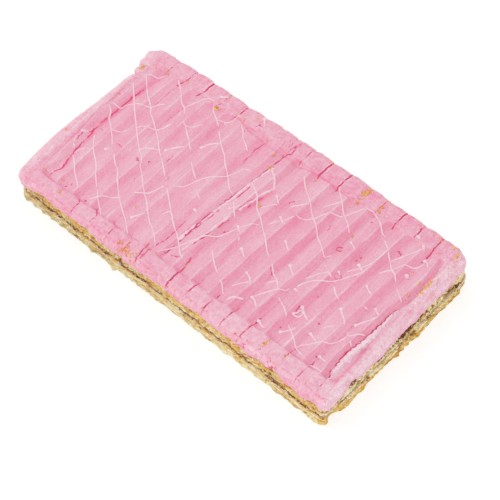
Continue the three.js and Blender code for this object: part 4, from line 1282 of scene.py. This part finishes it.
CAMERA_TARGET = (10.480, -7.584, 12.0)
CAMERA_DISTANCE = 667.72
CAMERA_AZIMUTH, CAMERA_ELEVATION = 40.5, 56.21
CAMERA_LENS = 158.4
FLOOR_HALF = 3.0
FLOOR_LOOK = (
    ("Base Color", (0.45, 0.45, 0.45, 1)), ("Roughness", 0.95), ("Specular IOR Level", 0.0),
    ("Emission Color", (1, 1, 1, 1)), ("Emission Strength", 0.62),
)
WORLD_STRENGTH = 0.885
# The lights: name, direction, distance and size in metres, and power in watts.
LIGHTS = (("key", (-0.75, -0.1, 0.9), 1.2, 0.6, 1.8), ("fill", (0.5, -0.8, 0.45), 1.4, 1.2, 2.2))


def make_camera():
    azimuth, elevation = math.radians(CAMERA_AZIMUTH), math.radians(CAMERA_ELEVATION)
    back = Vector((math.sin(azimuth) * math.cos(elevation),
                   -math.cos(azimuth) * math.cos(elevation), math.sin(elevation)))
    right = Vector((math.cos(azimuth), math.sin(azimuth), 0))
    turn = Matrix((right, back.cross(right), back)).transposed().to_4x4()
    camera = add_object("camera", bpy.data.cameras.new("camera"))
    camera.data.sensor_width = 36
    camera.data.lens = CAMERA_LENS
    camera.data.clip_start = 0.05
    place = (Vector(CAMERA_TARGET) + CAMERA_DISTANCE * back) * MM
    camera.matrix_world = Matrix.Translation(place) @ turn
    bpy.context.scene.camera = camera


def make_area_light(name, direction, distance, size, power):
    light = add_object(name, bpy.data.lights.new(name, "AREA"))
    light.data.shape = "DISK"
    light.data.size = size
    light.data.energy = power
    towards = Vector(direction).normalized()
    light.location = towards * distance
    light.rotation_euler = towards.to_track_quat("Z", "Y").to_euler()


def make_floor():
    mesh = bpy.data.meshes.new("floor")
    corners = [(a * FLOOR_HALF, b * FLOOR_HALF, 0) for a, b in ((-1, -1), (1, -1), (1, 1), (-1, 1))]
    mesh.from_pydata(corners, [], [(0, 1, 2, 3)])
    material = bpy.data.materials.new("floor")
    material.use_nodes = True
    for socket, value in FLOOR_LOOK:
        material.node_tree.nodes["Principled BSDF"].inputs[socket].default_value = value
    mesh.materials.append(material)
    floor = add_object("floor", mesh)


def make_world():
    world = bpy.data.worlds.new("studio")
    world.use_nodes = True
    background = world.node_tree.nodes["Background"]
    background.inputs["Color"].default_value = (1, 1, 1, 1)
    background.inputs["Strength"].default_value = WORLD_STRENGTH
    bpy.context.scene.world = world


make_camera()
make_world()
for light_settings in LIGHTS:
    make_area_light(*light_settings)
make_floor()
bpy.context.scene.view_settings.view_transform = "Standard"

icing = make_icing(icing_material())
UNDERSIDE_MASKS, UPPER_MASKS, JAM_MASKS = (0.7, 0.1, 0.2), (0.4, 0, 0.4), (0, 0, 0)
make_slab("top_pastry_sheet", "pastry_top", pastry_material("top_pastry", 0.11, 1.3),
          sheet_sides(True), ((TOP_SHEET_BOTTOM, UNDERSIDE_MASKS), (TOP_SHEET_TOP, UPPER_MASKS)))
make_slab("bottom_pastry_sheet", "pastry_bottom", pastry_material("bottom_pastry", 0.12, 0.9),
          sheet_sides(False), ((0.0, UNDERSIDE_MASKS), (BOTTOM_SHEET_TOP, UPPER_MASKS)))
make_slab("jam_seam", "raspberry_filling", jam_material(),
          jam_sides(), ((JAM_BOTTOM, JAM_MASKS), (JAM_TOP, JAM_MASKS)))

icing_points = [vertex.co.copy() for vertex in icing.data.vertices]
icing_faces = [list(face.vertices) for face in icing.data.polygons]
icing_tree = BVHTree.FromPolygons(icing_points, icing_faces)
make_drizzle(icing_tree, grain_material(
    "pale_drizzle", 0.5, 0.4, 0.6, ((0.25, 240, 194, 208), (0.75, 244, 220, 228)), 0.06, 0.4))
make_crumbs(icing_tree, grain_material(
    "golden_crumbs", 0.7, 0.3, 0.3,
    ((0.2, 230, 140, 74), (0.5, 236, 168, 100), (0.8, 241, 204, 148)), 0.1, 0.5))
